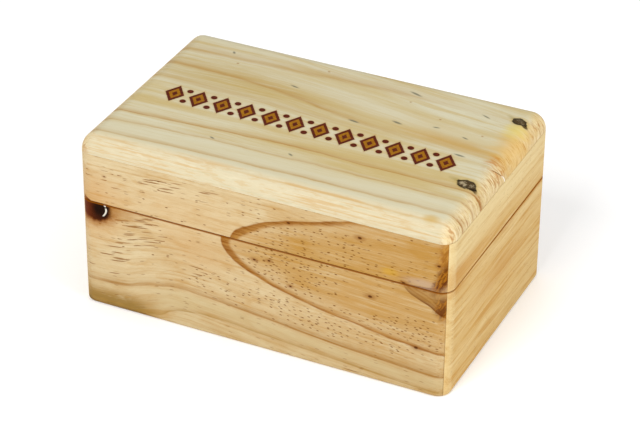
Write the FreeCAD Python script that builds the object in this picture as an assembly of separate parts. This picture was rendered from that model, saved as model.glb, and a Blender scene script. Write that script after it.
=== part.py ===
import FreeCAD, Part
import math, os
from FreeCAD import Vector as V

# A wooden jack-in-the-box: a mitred pine box with a hinged, magnet-latched lid.
# Inside, a figure with a two-pointed cap stands on a coil spring that the closed
# lid holds compressed. Modelled closed, in millimetres, +Z up, front towards -Y.
# Origin: centre of the underside, on the surface the box stands on.

# ---------------------------------------------------------------- driving sizes
BOX_L, BOX_W = 200.0, 127.0        # outside length (X) and width (Y)
BOARD_T = 10.0                     # wall boards
CORNER_R = 7.0                     # rounded vertical corners
SEAM_Z = 60.0                      # parting line between base and lid
SEAM_GAP = 0.2                     # shut gap at the parting line
SEAM_EASE = 0.45                   # eased outer edges on both sides of the gap
LID_WALL_TOP = 87.0                # top of the lid walls, under the top board
TOP_T = 9.5                        # top board thickness
TOP_ROUND = 9.0                    # round-over of the top board
JOINT_EASE = 0.2                   # fine line where the top board meets the walls
FOOT_EASE = 1.4                    # eased lower outer edge
BOTTOM_T = 6.0                     # bottom board, set in a rabbet
RABBET_W = 6.0
HINGE_X = 60.0                     # hinge centres, left and right
HINGE_LEN = 30.0
LEAF_T, LEAF_W = 1.2, 8.6
BARREL_R, PIN_R, PIN_HOLE_R = 2.5, 0.80, 0.85
STOP_DEG = 100.6                   # the stop lugs meet here
LID_OPEN_DEG = 100.0
MAGNET_R, MAGNET_T, MAGNET_X = 4.0, 4.0, 55.0
BLOCK_R, BLOCK_T = 30.0, 6.0
COIL_R, WIRE_R, TURNS = 18.0, 0.7, 8
CAP_R, CAP_T = 21.0, 5.0
CAP_Z = 35.0                       # underside of the spring cap, spring compressed
HEAD_R, HEAD_Z = 22.5, 61.0
HAT_R = 25.0                       # felt cap over the head
DOWEL_R = 5.0

IN_X, IN_Y = BOX_L / 2 - BOARD_T, BOX_W / 2 - BOARD_T
BASE_TOP, LID_LOW = SEAM_Z - SEAM_GAP / 2, SEAM_Z + SEAM_GAP / 2
BLOCK_TOP = BOTTOM_T + BLOCK_T
HINGE_Y = BOX_W / 2                # hinge axis on the back face, at the parting line

os.makedirs("parts", exist_ok=True)
NODES = {}


def keep(name, *shapes):
    solids = [s for sh in shapes for s in sh.Solids]
    NODES[name] = solids[0] if len(solids) == 1 else Part.makeCompound(solids)


def rounded(l, w, r, z0, z1):
    """Upright prism with a rounded-rectangle outline."""
    x, y = l / 2, w / 2
    p = lambda a, b: V(a, b, z0)
    k = r * (1 - math.sqrt(0.5))
    e = [
        Part.makeLine(p(-x + r, -y), p(x - r, -y)),
        Part.Arc(p(x - r, -y), p(x - k, -y + k), p(x, -y + r)).toShape(),
        Part.makeLine(p(x, -y + r), p(x, y - r)),
        Part.Arc(p(x, y - r), p(x - k, y - k), p(x - r, y)).toShape(),
        Part.makeLine(p(x - r, y), p(-x + r, y)),
        Part.Arc(p(-x + r, y), p(-x + k, y - k), p(-x, y - r)).toShape(),
        Part.makeLine(p(-x, y - r), p(-x, -y + r)),
        Part.Arc(p(-x, -y + r), p(-x + k, -y + k), p(-x + r, -y)).toShape(),
    ]
    return Part.Face(Part.Wire(e)).extrude(V(0, 0, z1 - z0))


def block(x0, x1, y0, y1, z0, z1):
    return Part.makeBox(x1 - x0, y1 - y0, z1 - z0, V(x0, y0, z0))


def rim_edges(shape, z, outer_only=True):
    """The outline edges of a prism at height z."""
    found = []
    for e in shape.Edges:
        b = e.BoundBox
        if abs(b.ZMin - z) < 1e-6 and abs(b.ZMax - z) < 1e-6:
            c = e.valueAt((e.FirstParameter + e.LastParameter) / 2)
            if not outer_only or abs(c.x) > IN_X + 0.5 or abs(c.y) > IN_Y + 0.5:
                found.append(e)
    return found


def cyl(r, p, d, h):
    return Part.makeCylinder(r, h, p, d)


def spun(points, at=V(0, 0, 0)):
    """Solid of revolution about Z from (radius, height) points."""
    pts = [V(r, 0, z) for r, z in points]
    face = Part.Face(Part.makePolygon(pts + [pts[0]]))
    s = face.revolve(V(0, 0, 0), V(0, 0, 1), 360)
    s.translate(at)
    return s


def aimed(shape, p, d):
    """Turns a shape drawn along +Z to direction d and moves its origin to p."""
    s = shape.copy()
    s.Placement = FreeCAD.Placement(p, FreeCAD.Rotation(V(0, 0, 1), d)).multiply(s.Placement)
    return s


def screw(p, d, length, r_head, r_shank, grow=0.0, slots=True):
    """Countersunk wood screw: head face at p, driven along d."""
    g, cone = grow, (r_head - r_shank)
    s = spun([(0, -g), (r_head + g, -g), (r_head + g, 0.15), (r_shank + g, 0.15 + cone),
              (r_shank + g, length - 1.6 * r_shank), (0.05 + g, length + g), (0, length + g)])
    if slots:
        w, dp = 0.3 * r_shank + 0.1, 0.6
        a = r_head * 0.62
        s = s.cut(block(-a, a, -w, w, -0.1, dp).fuse(block(-w, w, -a, a, -0.1, dp)))
    return aimed(s, p, d)


# ---------------------------------------------------------------- box and lid walls
base_ring = rounded(BOX_L, BOX_W, CORNER_R, 0, BASE_TOP)
base_ring = base_ring.makeChamfer(SEAM_EASE, rim_edges(base_ring, BASE_TOP))
base_ring = base_ring.makeFillet(FOOT_EASE, rim_edges(base_ring, 0.0))
base_ring = base_ring.cut(block(-IN_X, IN_X, -IN_Y, IN_Y, -1, 80))
RX, RY = IN_X + RABBET_W, IN_Y + RABBET_W
base_ring = base_ring.cut(block(-RX, RX, -RY, RY, -1, BOTTOM_T))

lid_ring = rounded(BOX_L, BOX_W, CORNER_R, LID_LOW, LID_WALL_TOP)
lid_ring = lid_ring.makeChamfer(SEAM_EASE, rim_edges(lid_ring, LID_LOW))
lid_ring = lid_ring.makeChamfer(JOINT_EASE, rim_edges(lid_ring, LID_WALL_TOP))
lid_ring = lid_ring.cut(block(-IN_X, IN_X, -IN_Y, IN_Y, 40, 100))

# The top board's round-over is larger than its corner radius: two rounded-over bars
# cross, and one fillet then runs up each corner and over the mitre above it. The block
# is made taller than the board and cut off at the board's underside.
TOP_Z = LID_WALL_TOP + TOP_T


def bar(half, along_x):
    """Long block whose upper edges, half to each side, are rounded over."""
    p = (lambda q, z: V(-150, q, z)) if along_x else (lambda q, z: V(q, -150, z))
    k, m, low = half - TOP_ROUND, half - TOP_ROUND * (1 - math.sqrt(0.5)), TOP_Z - TOP_ROUND
    mz = low + TOP_ROUND * math.sqrt(0.5)
    e = [
        Part.makeLine(p(-half, TOP_Z - 40), p(half, TOP_Z - 40)),
        Part.makeLine(p(half, TOP_Z - 40), p(half, low)),
        Part.Arc(p(half, low), p(m, mz), p(k, TOP_Z)).toShape(),
        Part.makeLine(p(k, TOP_Z), p(-k, TOP_Z)),
        Part.Arc(p(-k, TOP_Z), p(-m, mz), p(-half, low)).toShape(),
        Part.makeLine(p(-half, low), p(-half, TOP_Z - 40)),
    ]
    return Part.Face(Part.Wire(e)).extrude(V(300, 0, 0) if along_x else V(0, 300, 0))


top_board = bar(BOX_W / 2, True).common(bar(BOX_L / 2, False))
corners = []
for e in top_board.Edges:
    c = e.valueAt((e.FirstParameter + e.LastParameter) / 2)
    if e.BoundBox.ZLength > 1.0 and abs(c.x) > IN_X and abs(c.y) > IN_Y:
        corners.append(e)
top_board = top_board.makeFillet(CORNER_R, corners)
top_board = top_board.common(block(-150, 150, -150, 150, LID_WALL_TOP, TOP_Z + 5))
top_board = top_board.makeChamfer(JOINT_EASE, rim_edges(top_board, LID_WALL_TOP))

far = 30.0
corner = {"fl": (-IN_X, -IN_Y), "fr": (IN_X, -IN_Y), "br": (IN_X, IN_Y), "bl": (-IN_X, IN_Y)}
out = {k: (x + math.copysign(far, x), y + math.copysign(far, y)) for k, (x, y) in corner.items()}


def wedge(a, b):
    pts = [out[a], out[b], corner[b], corner[a]]
    w = Part.makePolygon([V(x, y, -5) for x, y in pts + [pts[0]]])
    return Part.Face(w).extrude(V(0, 0, 130))


SIDES = {"front": ("fl", "fr"), "right": ("fr", "br"), "back": ("br", "bl"), "left": ("bl", "fl")}
base_board = {k: base_ring.common(wedge(*v)) for k, v in SIDES.items()}
lid_board = {k: lid_ring.common(wedge(*v)) for k, v in SIDES.items()}
bottom = block(-RX + 0.05, RX - 0.05, -RY + 0.05, RY - 0.05, 0, BOTTOM_T)

# ---------------------------------------------------------------- screws under the bottom board
under = [(sx * x, sy * (IN_Y + 3.0)) for x in (70.0, 0.0) for sx in ((-1, 1) if x else (1,)) for sy in (-1, 1)]
under += [(sx * (IN_X + 3.0), 0.0) for sx in (-1, 1)]
bottom_screws = []
for x, y in under:
    a = (V(x, y, 0.25), V(0, 0, 1), 15.0, 2.4, 1.2)
    bottom_screws.append(screw(*a))
    hole = screw(*a, grow=0.02, slots=False).fuse(cyl(2.42, V(x, y, -1), V(0, 0, 1), 1.4))
    bottom = bottom.cut(hole)
    for k in base_board:
        if (k in ("front", "back") and abs(y) > 20 and (y < 0) == (k == "front")) or (
            k in ("left", "right") and abs(y) < 1 and (x < 0) == (k == "left")
        ):
            base_board[k] = base_board[k].cut(hole)

# ---------------------------------------------------------------- spring block, its screws
spring_block = cyl(BLOCK_R, V(0, 0, BOTTOM_T), V(0, 0, 1), BLOCK_T)
spring_block = spring_block.makeFillet(0.8, [e for e in spring_block.Edges if abs(e.BoundBox.ZMin - BLOCK_TOP) < 1e-6])
block_screws = []
for deg in (90, 210, 330):
    x, y = 11.0 * math.cos(math.radians(deg)), 11.0 * math.sin(math.radians(deg))
    a = (V(x, y, 0.25), V(0, 0, 1), 11.2, 2.6, 1.4)
    block_screws.append(screw(*a))
    hole = screw(*a, grow=0.02, slots=False).fuse(cyl(2.62, V(x, y, -1), V(0, 0, 1), 1.4))
    bottom, spring_block = bottom.cut(hole), spring_block.cut(hole)

# ---------------------------------------------------------------- coil spring, compressed
COIL_Z0 = BLOCK_TOP + WIRE_R + 0.05
COIL_H = CAP_Z - 0.05 - WIRE_R - COIL_Z0
PITCH = COIL_H / TURNS
helix = Part.makeHelix(PITCH, COIL_H, COIL_R)
section = Part.Wire(Part.Circle(V(COIL_R, 0, 0), V(0, COIL_R, PITCH / (2 * math.pi)), WIRE_R).toShape())
spring = Part.Wire(helix).makePipeShell([section], True, True)
spring.translate(V(0, 0, COIL_Z0))

# staples hold the end coils to the block below and to the cap above
STAPLE_R, STAPLE_BEND = 0.42, 1.28


def staple(deg, wire_z, leg_to):
    """A round-wire staple that straddles the coil at angle deg and runs to height leg_to."""
    up = 1 if leg_to < wire_z else -1
    a = math.radians(deg)
    rad = V(math.cos(a), math.sin(a), 0)
    c = rad * COIL_R + V(0, 0, wire_z)
    i, o, t = c - rad * STAPLE_BEND, c + rad * STAPLE_BEND, c + V(0, 0, up * STAPLE_BEND)
    leg = V(0, 0, leg_to - wire_z)
    path = Part.Wire([Part.makeLine(i + leg, i), Part.Arc(i, t, o).toShape(), Part.makeLine(o, o + leg)])
    ring = Part.Wire(Part.Circle(i + leg, V(0, 0, 1), STAPLE_R).toShape())
    return path.makePipeShell([ring], True, False)


coil_z = lambda deg: COIL_Z0 + PITCH * deg / 360.0
lower_staples = [staple(d, coil_z(d), BLOCK_TOP - 3.5) for d in (30, 150, 270)]
upper_staples = [staple(d % 360, coil_z(d), CAP_Z + 3.2) for d in (TURNS * 360 - 30, TURNS * 360 - 150, TURNS * 360 - 270)]
for s in lower_staples:
    spring_block = spring_block.cut(s)

# ---------------------------------------------------------------- figure: cap disc, dowel, head
spring_cap = cyl(CAP_R, V(0, 0, CAP_Z), V(0, 0, 1), CAP_T)
spring_cap = spring_cap.makeFillet(1.0, [e for e in spring_cap.Edges if e.BoundBox.ZLength < 1e-6 and e.BoundBox.XLength > 2])
spring_cap = spring_cap.cut(cyl(DOWEL_R + 0.03, V(0, 0, CAP_Z - 1), V(0, 0, 1), CAP_T + 2))
for s in upper_staples:
    spring_cap = spring_cap.cut(s)
NECK_Z = CAP_Z + CAP_T
dowel = cyl(DOWEL_R, V(0, 0, CAP_Z + 0.2), V(0, 0, 1), 17.0)
dowel = dowel.makeChamfer(0.6, [e for e in dowel.Edges if e.BoundBox.ZLength < 1e-6 and e.BoundBox.XLength > 2])
head = Part.makeSphere(HEAD_R, V(0, 0, 0))
head.Placement = FreeCAD.Placement(V(0, 0, HEAD_Z), FreeCAD.Rotation(V(0, 0, 1), 90))
head = head.cut(block(-30, 30, -30, 30, NECK_Z - 20, NECK_Z))
head = head.cut(cyl(DOWEL_R + 0.03, V(0, 0, NECK_Z - 1), V(0, 0, 1), CAP_Z + 17.6 - NECK_Z + 1))


def on_head(x, dz, r):
    return V(x, -math.sqrt(r * r - x * x - dz * dz), HEAD_Z + dz)


NOSE_R, EYE_R, PEG_R = 3.6, 2.1, 1.1
nose_at = on_head(0, -2.2, HEAD_R + 1.7)
nose = Part.makeSphere(NOSE_R, nose_at)
head = head.cut(Part.makeSphere(NOSE_R + 0.02, nose_at))
eyes = []
for sx in (-1, 1):
    # a domed peg: the dome sits on a spot-faced flat, the shank in a drilled hole
    at = on_head(sx * 7.6, 3.0, HEAD_R - 0.3)
    d = V(0, 0, HEAD_Z) - at
    d.normalize()
    dome = [(EYE_R * math.sin(math.radians(t)), -1.5 * math.cos(math.radians(t))) for t in range(0, 91, 10)]
    eyes.append(aimed(spun(dome + [(PEG_R, 0), (PEG_R, 5.0), (0, 5.0)]), at, d))
    head = head.cut(cyl(EYE_R + 0.05, at - d * 3, d, 3.02)).cut(cyl(PEG_R + 0.03, at - d, d, 6.1))

# ---------------------------------------------------------------- felt cap with two points, band and bells
BRIM_FRONT, BRIM_BACK = 69.0, 58.0
brim_tilt = math.atan2(BRIM_FRONT - BRIM_BACK, 2 * HAT_R)
brim_mid = (BRIM_FRONT + BRIM_BACK) / 2


def below_brim(lift, depth=60.0):
    """The half space under the slanting brim, as a block whose top face is the brim plane raised by lift."""
    b = block(-80, 80, -60, 60, -depth, lift)
    return aimed_tilt(b)


def aimed_tilt(s):
    s = s.copy()
    s.Placement = FreeCAD.Placement(V(0, 0, brim_mid), FreeCAD.Rotation(V(1, 0, 0), -math.degrees(brim_tilt)))
    return s


ball = lambda r: Part.makeSphere(r, V(0, 0, HEAD_Z))
dome = ball(HAT_R).cut(below_brim(0.0))
HORN = [(8.0, 74.2, 9.0), (24.0, 73.6, 7.8), (36.5, 69.2, 5.9), (45.0, 61.8, 4.0), (49.2, 54.6, 2.6)]


def horn(sx):
    rings = []
    for i, (x, z, r) in enumerate(HORN):
        a, b = HORN[max(0, i - 1)], HORN[min(len(HORN) - 1, i + 1)]
        d = V(sx * (b[0] - a[0]), 0, b[1] - a[1])
        rings.append(Part.Wire(Part.Circle(V(sx * x, 0, z), d, r).toShape()))
    return Part.makeLoft(rings, True, False)


hat = dome.fuse(horn(1)).fuse(horn(-1)).cut(ball(HEAD_R + 0.2)).removeSplitter()
band = ball(HAT_R + 1.4).cut(ball(HAT_R + 0.1)).cut(below_brim(-0.6)).common(below_brim(2.6, 1.0)).cut(hat)
BELL_R = 5.0
bells = {}
(x3, z3, _), (x4, z4, _) = HORN[3], HORN[4]
dl = math.hypot(x4 - x3, z4 - z3)
dx, dz = (x4 - x3) / dl, (z4 - z3) / dl
for side, sx in (("left", -1), ("right", 1)):
    d = V(sx * dx, 0, dz)
    tip = V(sx * x4, 0, z4)
    c = tip + d * (BELL_R + 1.3)
    b = Part.makeSphere(BELL_R, c).cut(Part.makeSphere(BELL_R - 0.7, c))
    slot = aimed(block(-0.6, 0.6, -6, 6, 0.8, 6).fuse(cyl(1.5, V(0, -4.4, 0.4), V(0, -1, 0), 3)).fuse(
        cyl(1.5, V(0, 4.4, 0.4), V(0, 1, 0), 3)), c, d)
    stud = cyl(1.3, tip + d * 0.15, d, 2.0).cut(Part.makeSphere(BELL_R - 0.3, c))
    bells[side] = b.cut(slot).fuse(stud)

# ---------------------------------------------------------------- collar, arms, hands, body sleeve
ruff = spun([(10.4, 40.15), (29.6, 40.15), (31.0, 41.6), (31.0, 45.0), (29.6, 46.2), (19.0, 46.2), (12.8, 41.5), (10.4, 40.6)])
ARM_R, SHOULDER_Z = 4.4, 35.3
arms, hands = {}, {}
for side, sx in (("left", -1), ("right", 1)):
    p0, p1 = V(sx * 24.4, 0, SHOULDER_Z), V(sx * 35.0, 0, SHOULDER_Z)
    bend, turn = 22.0, math.radians(28)
    cen = p1 + V(0, 0, -bend)
    pm = cen + V(sx * bend * math.sin(turn / 2), 0, bend * math.cos(turn / 2))
    p2 = cen + V(sx * bend * math.sin(turn), 0, bend * math.cos(turn))
    d = V(sx * math.cos(turn), 0, -math.sin(turn))
    p3 = p2 + d * 11.0
    path = Part.Wire([Part.makeLine(p0, p1), Part.Arc(p1, pm, p2).toShape(), Part.makeLine(p2, p3)])
    ring = Part.Wire(Part.Circle(p0, V(sx, 0, 0), ARM_R).toShape())
    arms[side] = path.makePipeShell([ring], True, False)
    c = p3 + d * 6.0
    hands[side] = Part.makeSphere(6.2, c).cut(aimed(block(-10, 10, -10, 10, -12, -5.9), c, d))

sleeve = spun([(31.4, 6.8), (31.4, 11.6), (33.6, 13.2), (26.6, 22.0), (23.1, 28.2), (23.1, 36.3),
               (22.2, 36.3), (22.2, 27.9), (25.8, 21.5), (32.0, 13.4), (30.4, 12.2), (30.4, 6.8)])
tacks = []
for k in range(6):
    a = math.radians(30 + 60 * k)
    d = V(-math.cos(a), -math.sin(a), 0)
    p = d * -31.5 + V(0, 0, 9.3)
    t = spun([(0, -1.0), (0.9, -0.75), (1.5, -0.25), (1.6, 0), (0.45, 0), (0.45, 5.6), (0.05, 6.6), (0, 6.6)])
    tacks.append(aimed(t, p, d))
    sleeve = sleeve.cut(cyl(0.6, p, d, 4.0))
    spring_block = spring_block.cut(tacks[-1])

# ---------------------------------------------------------------- hinges with a stop
AX = V(1, 0, 0)
KNUCKLES = 5
KN_GAP = 0.2


def sector(x0, x1, r0, r1, a0, a1):
    """Part of a ring about the hinge axis; angles from straight back (+Y), upwards."""
    p = lambda r, a: V(x0, HINGE_Y + r * math.cos(math.radians(a)), SEAM_Z + r * math.sin(math.radians(a)))
    pts = [p(r0, a0), p(r1, a0), p(r1, a1), p(r0, a1)]
    return Part.Face(Part.makePolygon(pts + [pts[0]])).extrude(V(x1 - x0, 0, 0))


hinge = {}
hinge_screws = {"base": [], "lid": []}
for side, hx in (("left", -HINGE_X), ("right", HINGE_X)):
    x0, x1 = hx - HINGE_LEN / 2, hx + HINGE_LEN / 2
    step = HINGE_LEN / KNUCKLES
    spans = [(x0 + i * step + (KN_GAP / 2 if i else 0), x0 + (i + 1) * step - (KN_GAP / 2 if i < KNUCKLES - 1 else 0)) for i in range(KNUCKLES)]
    axis_pt = lambda x: V(x, HINGE_Y, SEAM_Z)
    for part, own, z0, z1, lug in (("base", (0, 2, 4), BASE_TOP - LEAF_T, BASE_TOP, (-STOP_DEG / 2 - 16, -STOP_DEG / 2)),
                                   ("lid", (1, 3), LID_LOW, LID_LOW + LEAF_T, (STOP_DEG / 2, STOP_DEG / 2 + 16))):
        leaf = block(x0, x1, HINGE_Y - LEAF_W, HINGE_Y, z0, z1)
        leaf = leaf.cut(cyl(BARREL_R + 0.2, axis_pt(x0 - 1), AX, HINGE_LEN + 2))
        lug_bar = sector(x0, x1, BARREL_R + 0.25, 5.0, *lug)
        for i in own:
            a, b = spans[i]
            leaf = leaf.fuse(cyl(BARREL_R, axis_pt(a), AX, b - a))
            leaf = leaf.fuse(block(a, b, HINGE_Y - BARREL_R - 0.6, HINGE_Y, z0, z1))
            lug_bar = lug_bar.fuse(sector(a, b, BARREL_R - 0.4, BARREL_R + 0.6, *lug))
        leaf = leaf.fuse(lug_bar).cut(cyl(PIN_HOLE_R, axis_pt(x0 - 1), AX, HINGE_LEN + 2))
        d = V(0, 0, -1) if part == "base" else V(0, 0, 1)
        zf = BASE_TOP - 0.05 if part == "base" else LID_LOW + 0.05
        for sx in (-10.0, 0.0, 10.0):
            a = (V(hx + sx, HINGE_Y - 5.6, zf), d, 9.0, 2.1, 1.05)
            hinge_screws[part].append(screw(*a))
            hole = screw(*a, grow=0.03, slots=False)
            leaf = leaf.cut(hole)
            if part == "base":
                base_board["back"] = base_board["back"].cut(hole)
            else:
                lid_board["back"] = lid_board["back"].cut(hole)
        hinge[(part, side)] = leaf.removeSplitter()
    clear = cyl(BARREL_R + 0.25, axis_pt(x0 - 0.2), AX, HINGE_LEN + 0.4)
    base_board["back"] = base_board["back"].cut(block(x0 - 0.05, x1 + 0.05, HINGE_Y - LEAF_W - 0.05, HINGE_Y + 1, BASE_TOP - LEAF_T - 0.03, 70)).cut(clear)
    lid_board["back"] = lid_board["back"].cut(block(x0 - 0.05, x1 + 0.05, HINGE_Y - LEAF_W - 0.05, HINGE_Y + 1, 50, LID_LOW + LEAF_T + 0.03)).cut(clear)
    pin = cyl(PIN_R, axis_pt(x0 - 0.1), AX, HINGE_LEN + 0.2)
    hinge[("pin", side)] = pin.makeChamfer(0.2, [e for e in pin.Edges if e.BoundBox.XLength < 1e-6 and e.BoundBox.YLength > 1])

# ---------------------------------------------------------------- magnet pairs in the front rims
base_magnets, lid_magnets = [], []
for x in (-MAGNET_X, MAGNET_X):
    y = -(IN_Y + BOARD_T / 2)
    for z, board, found in ((BASE_TOP - MAGNET_T, base_board, base_magnets), (LID_LOW, lid_board, lid_magnets)):
        m = cyl(MAGNET_R, V(x, y, z), V(0, 0, 1), MAGNET_T)
        m = m.makeFillet(0.25, [e for e in m.Edges if e.BoundBox.ZLength < 1e-6 and e.BoundBox.XLength > 2])
        found.append(m)
        up = 1 if board is base_board else 0
        board["front"] = board["front"].cut(cyl(MAGNET_R + 0.03, V(x, y, z - (0.05 if up else 1.0)), V(0, 0, 1), MAGNET_T + 1.05))

# ---------------------------------------------------------------- nodes
for k in SIDES:
    keep(f"base_{k}_board", base_board[k])
    keep(f"lid_{k}_board", lid_board[k])
keep("lid_top_board", top_board)
keep("bottom_board", bottom)
keep("bottom_screws", *bottom_screws)
keep("spring_block", spring_block)
keep("block_screws", *block_screws)
keep("jack_spring", spring)
keep("lower_staples", *lower_staples)
keep("upper_staples", *upper_staples)
keep("spring_cap", spring_cap)
keep("neck_dowel", dowel)
keep("head_ball", head)
keep("nose_bead", nose)
keep("eye_beads", *eyes)
keep("jester_cap", hat)
keep("cap_band", band)
keep("collar_ruff", ruff)
keep("body_sleeve", sleeve)
keep("hem_tacks", *tacks)
for side in ("left", "right"):
    keep(f"{side}_bell", bells[side])
    keep(f"{side}_arm", arms[side])
    keep(f"{side}_hand", hands[side])
    keep(f"{side}_hinge_base_leaf", hinge[("base", side)])
    keep(f"{side}_hinge_lid_leaf", hinge[("lid", side)])
    keep(f"{side}_hinge_pin", hinge[("pin", side)])
keep("hinge_base_screws", *hinge_screws["base"])
keep("hinge_lid_screws", *hinge_screws["lid"])
keep("base_magnets", *base_magnets)
keep("lid_magnets", *lid_magnets)

for name, shape in sorted(NODES.items()):
    ok = all(s.isValid() and s.isClosed() and s.Volume > 0 for s in shape.Solids)
    if not ok:
        print("check", name, [(s.isValid(), s.isClosed(), round(s.Volume, 2)) for s in shape.Solids])
    shape.exportStep(f"parts/{name}.step")
print(len(NODES), "nodes; solids", sum(len(s.Solids) for s in NODES.values()))
print("spring: section times length", round(math.pi * WIRE_R**2 * TURNS * math.hypot(2 * math.pi * COIL_R, PITCH), 1), "volume", round(spring.Volume, 1))
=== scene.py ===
import bmesh
import bpy
import math
import numpy as np
from mathutils import Matrix, Vector, noise


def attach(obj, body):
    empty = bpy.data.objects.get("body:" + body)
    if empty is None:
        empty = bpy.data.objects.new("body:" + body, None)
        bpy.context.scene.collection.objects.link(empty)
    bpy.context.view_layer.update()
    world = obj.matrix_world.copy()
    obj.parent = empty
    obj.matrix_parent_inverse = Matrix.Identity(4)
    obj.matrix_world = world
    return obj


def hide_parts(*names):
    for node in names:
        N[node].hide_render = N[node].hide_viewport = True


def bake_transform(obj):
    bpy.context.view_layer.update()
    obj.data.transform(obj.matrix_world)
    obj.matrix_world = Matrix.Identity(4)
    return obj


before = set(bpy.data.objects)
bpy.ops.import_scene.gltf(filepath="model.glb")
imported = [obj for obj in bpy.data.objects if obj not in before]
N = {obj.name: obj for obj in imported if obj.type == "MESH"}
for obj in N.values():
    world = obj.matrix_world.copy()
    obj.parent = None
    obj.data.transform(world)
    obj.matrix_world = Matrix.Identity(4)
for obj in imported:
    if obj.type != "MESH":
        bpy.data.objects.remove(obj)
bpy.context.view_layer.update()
scene = bpy.context.scene


# ------------------------------------------------------------------ node tools
def lin(r, g, b):
    """sRGB 0-255 to linear."""
    f = lambda c: c / 12.92 if c <= 0.04045 else ((c + 0.055) / 1.055) ** 2.4
    return (f(r / 255), f(g / 255), f(b / 255), 1.0)


def seen(r, g, b, e):
    """The albedo that looks like this sRGB tone on a face lit e times over, under a lacquer's own sheen."""
    return tuple((c - 0.006 * min(1.0, c / 0.04)) / e for c in lin(r, g, b)[:3]) + (1.0,)


class S:
    """A float or colour socket that can be used in sums."""

    def __init__(self, g, s):
        self.g, self.s = g, s

    def __add__(a, b):
        return a.g.m("ADD", a, b)

    def __radd__(a, b):
        return a.g.m("ADD", b, a)

    def __sub__(a, b):
        return a.g.m("SUBTRACT", a, b)

    def __rsub__(a, b):
        return a.g.m("SUBTRACT", b, a)

    def __mul__(a, b):
        return a.g.m("MULTIPLY", a, b)

    def __rmul__(a, b):
        return a.g.m("MULTIPLY", b, a)

    def __truediv__(a, b):
        return a.g.m("DIVIDE", a, b)

    def __rtruediv__(a, b):
        return a.g.m("DIVIDE", b, a)

    def __neg__(a):
        return a.g.m("MULTIPLY", a, -1.0)


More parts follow.
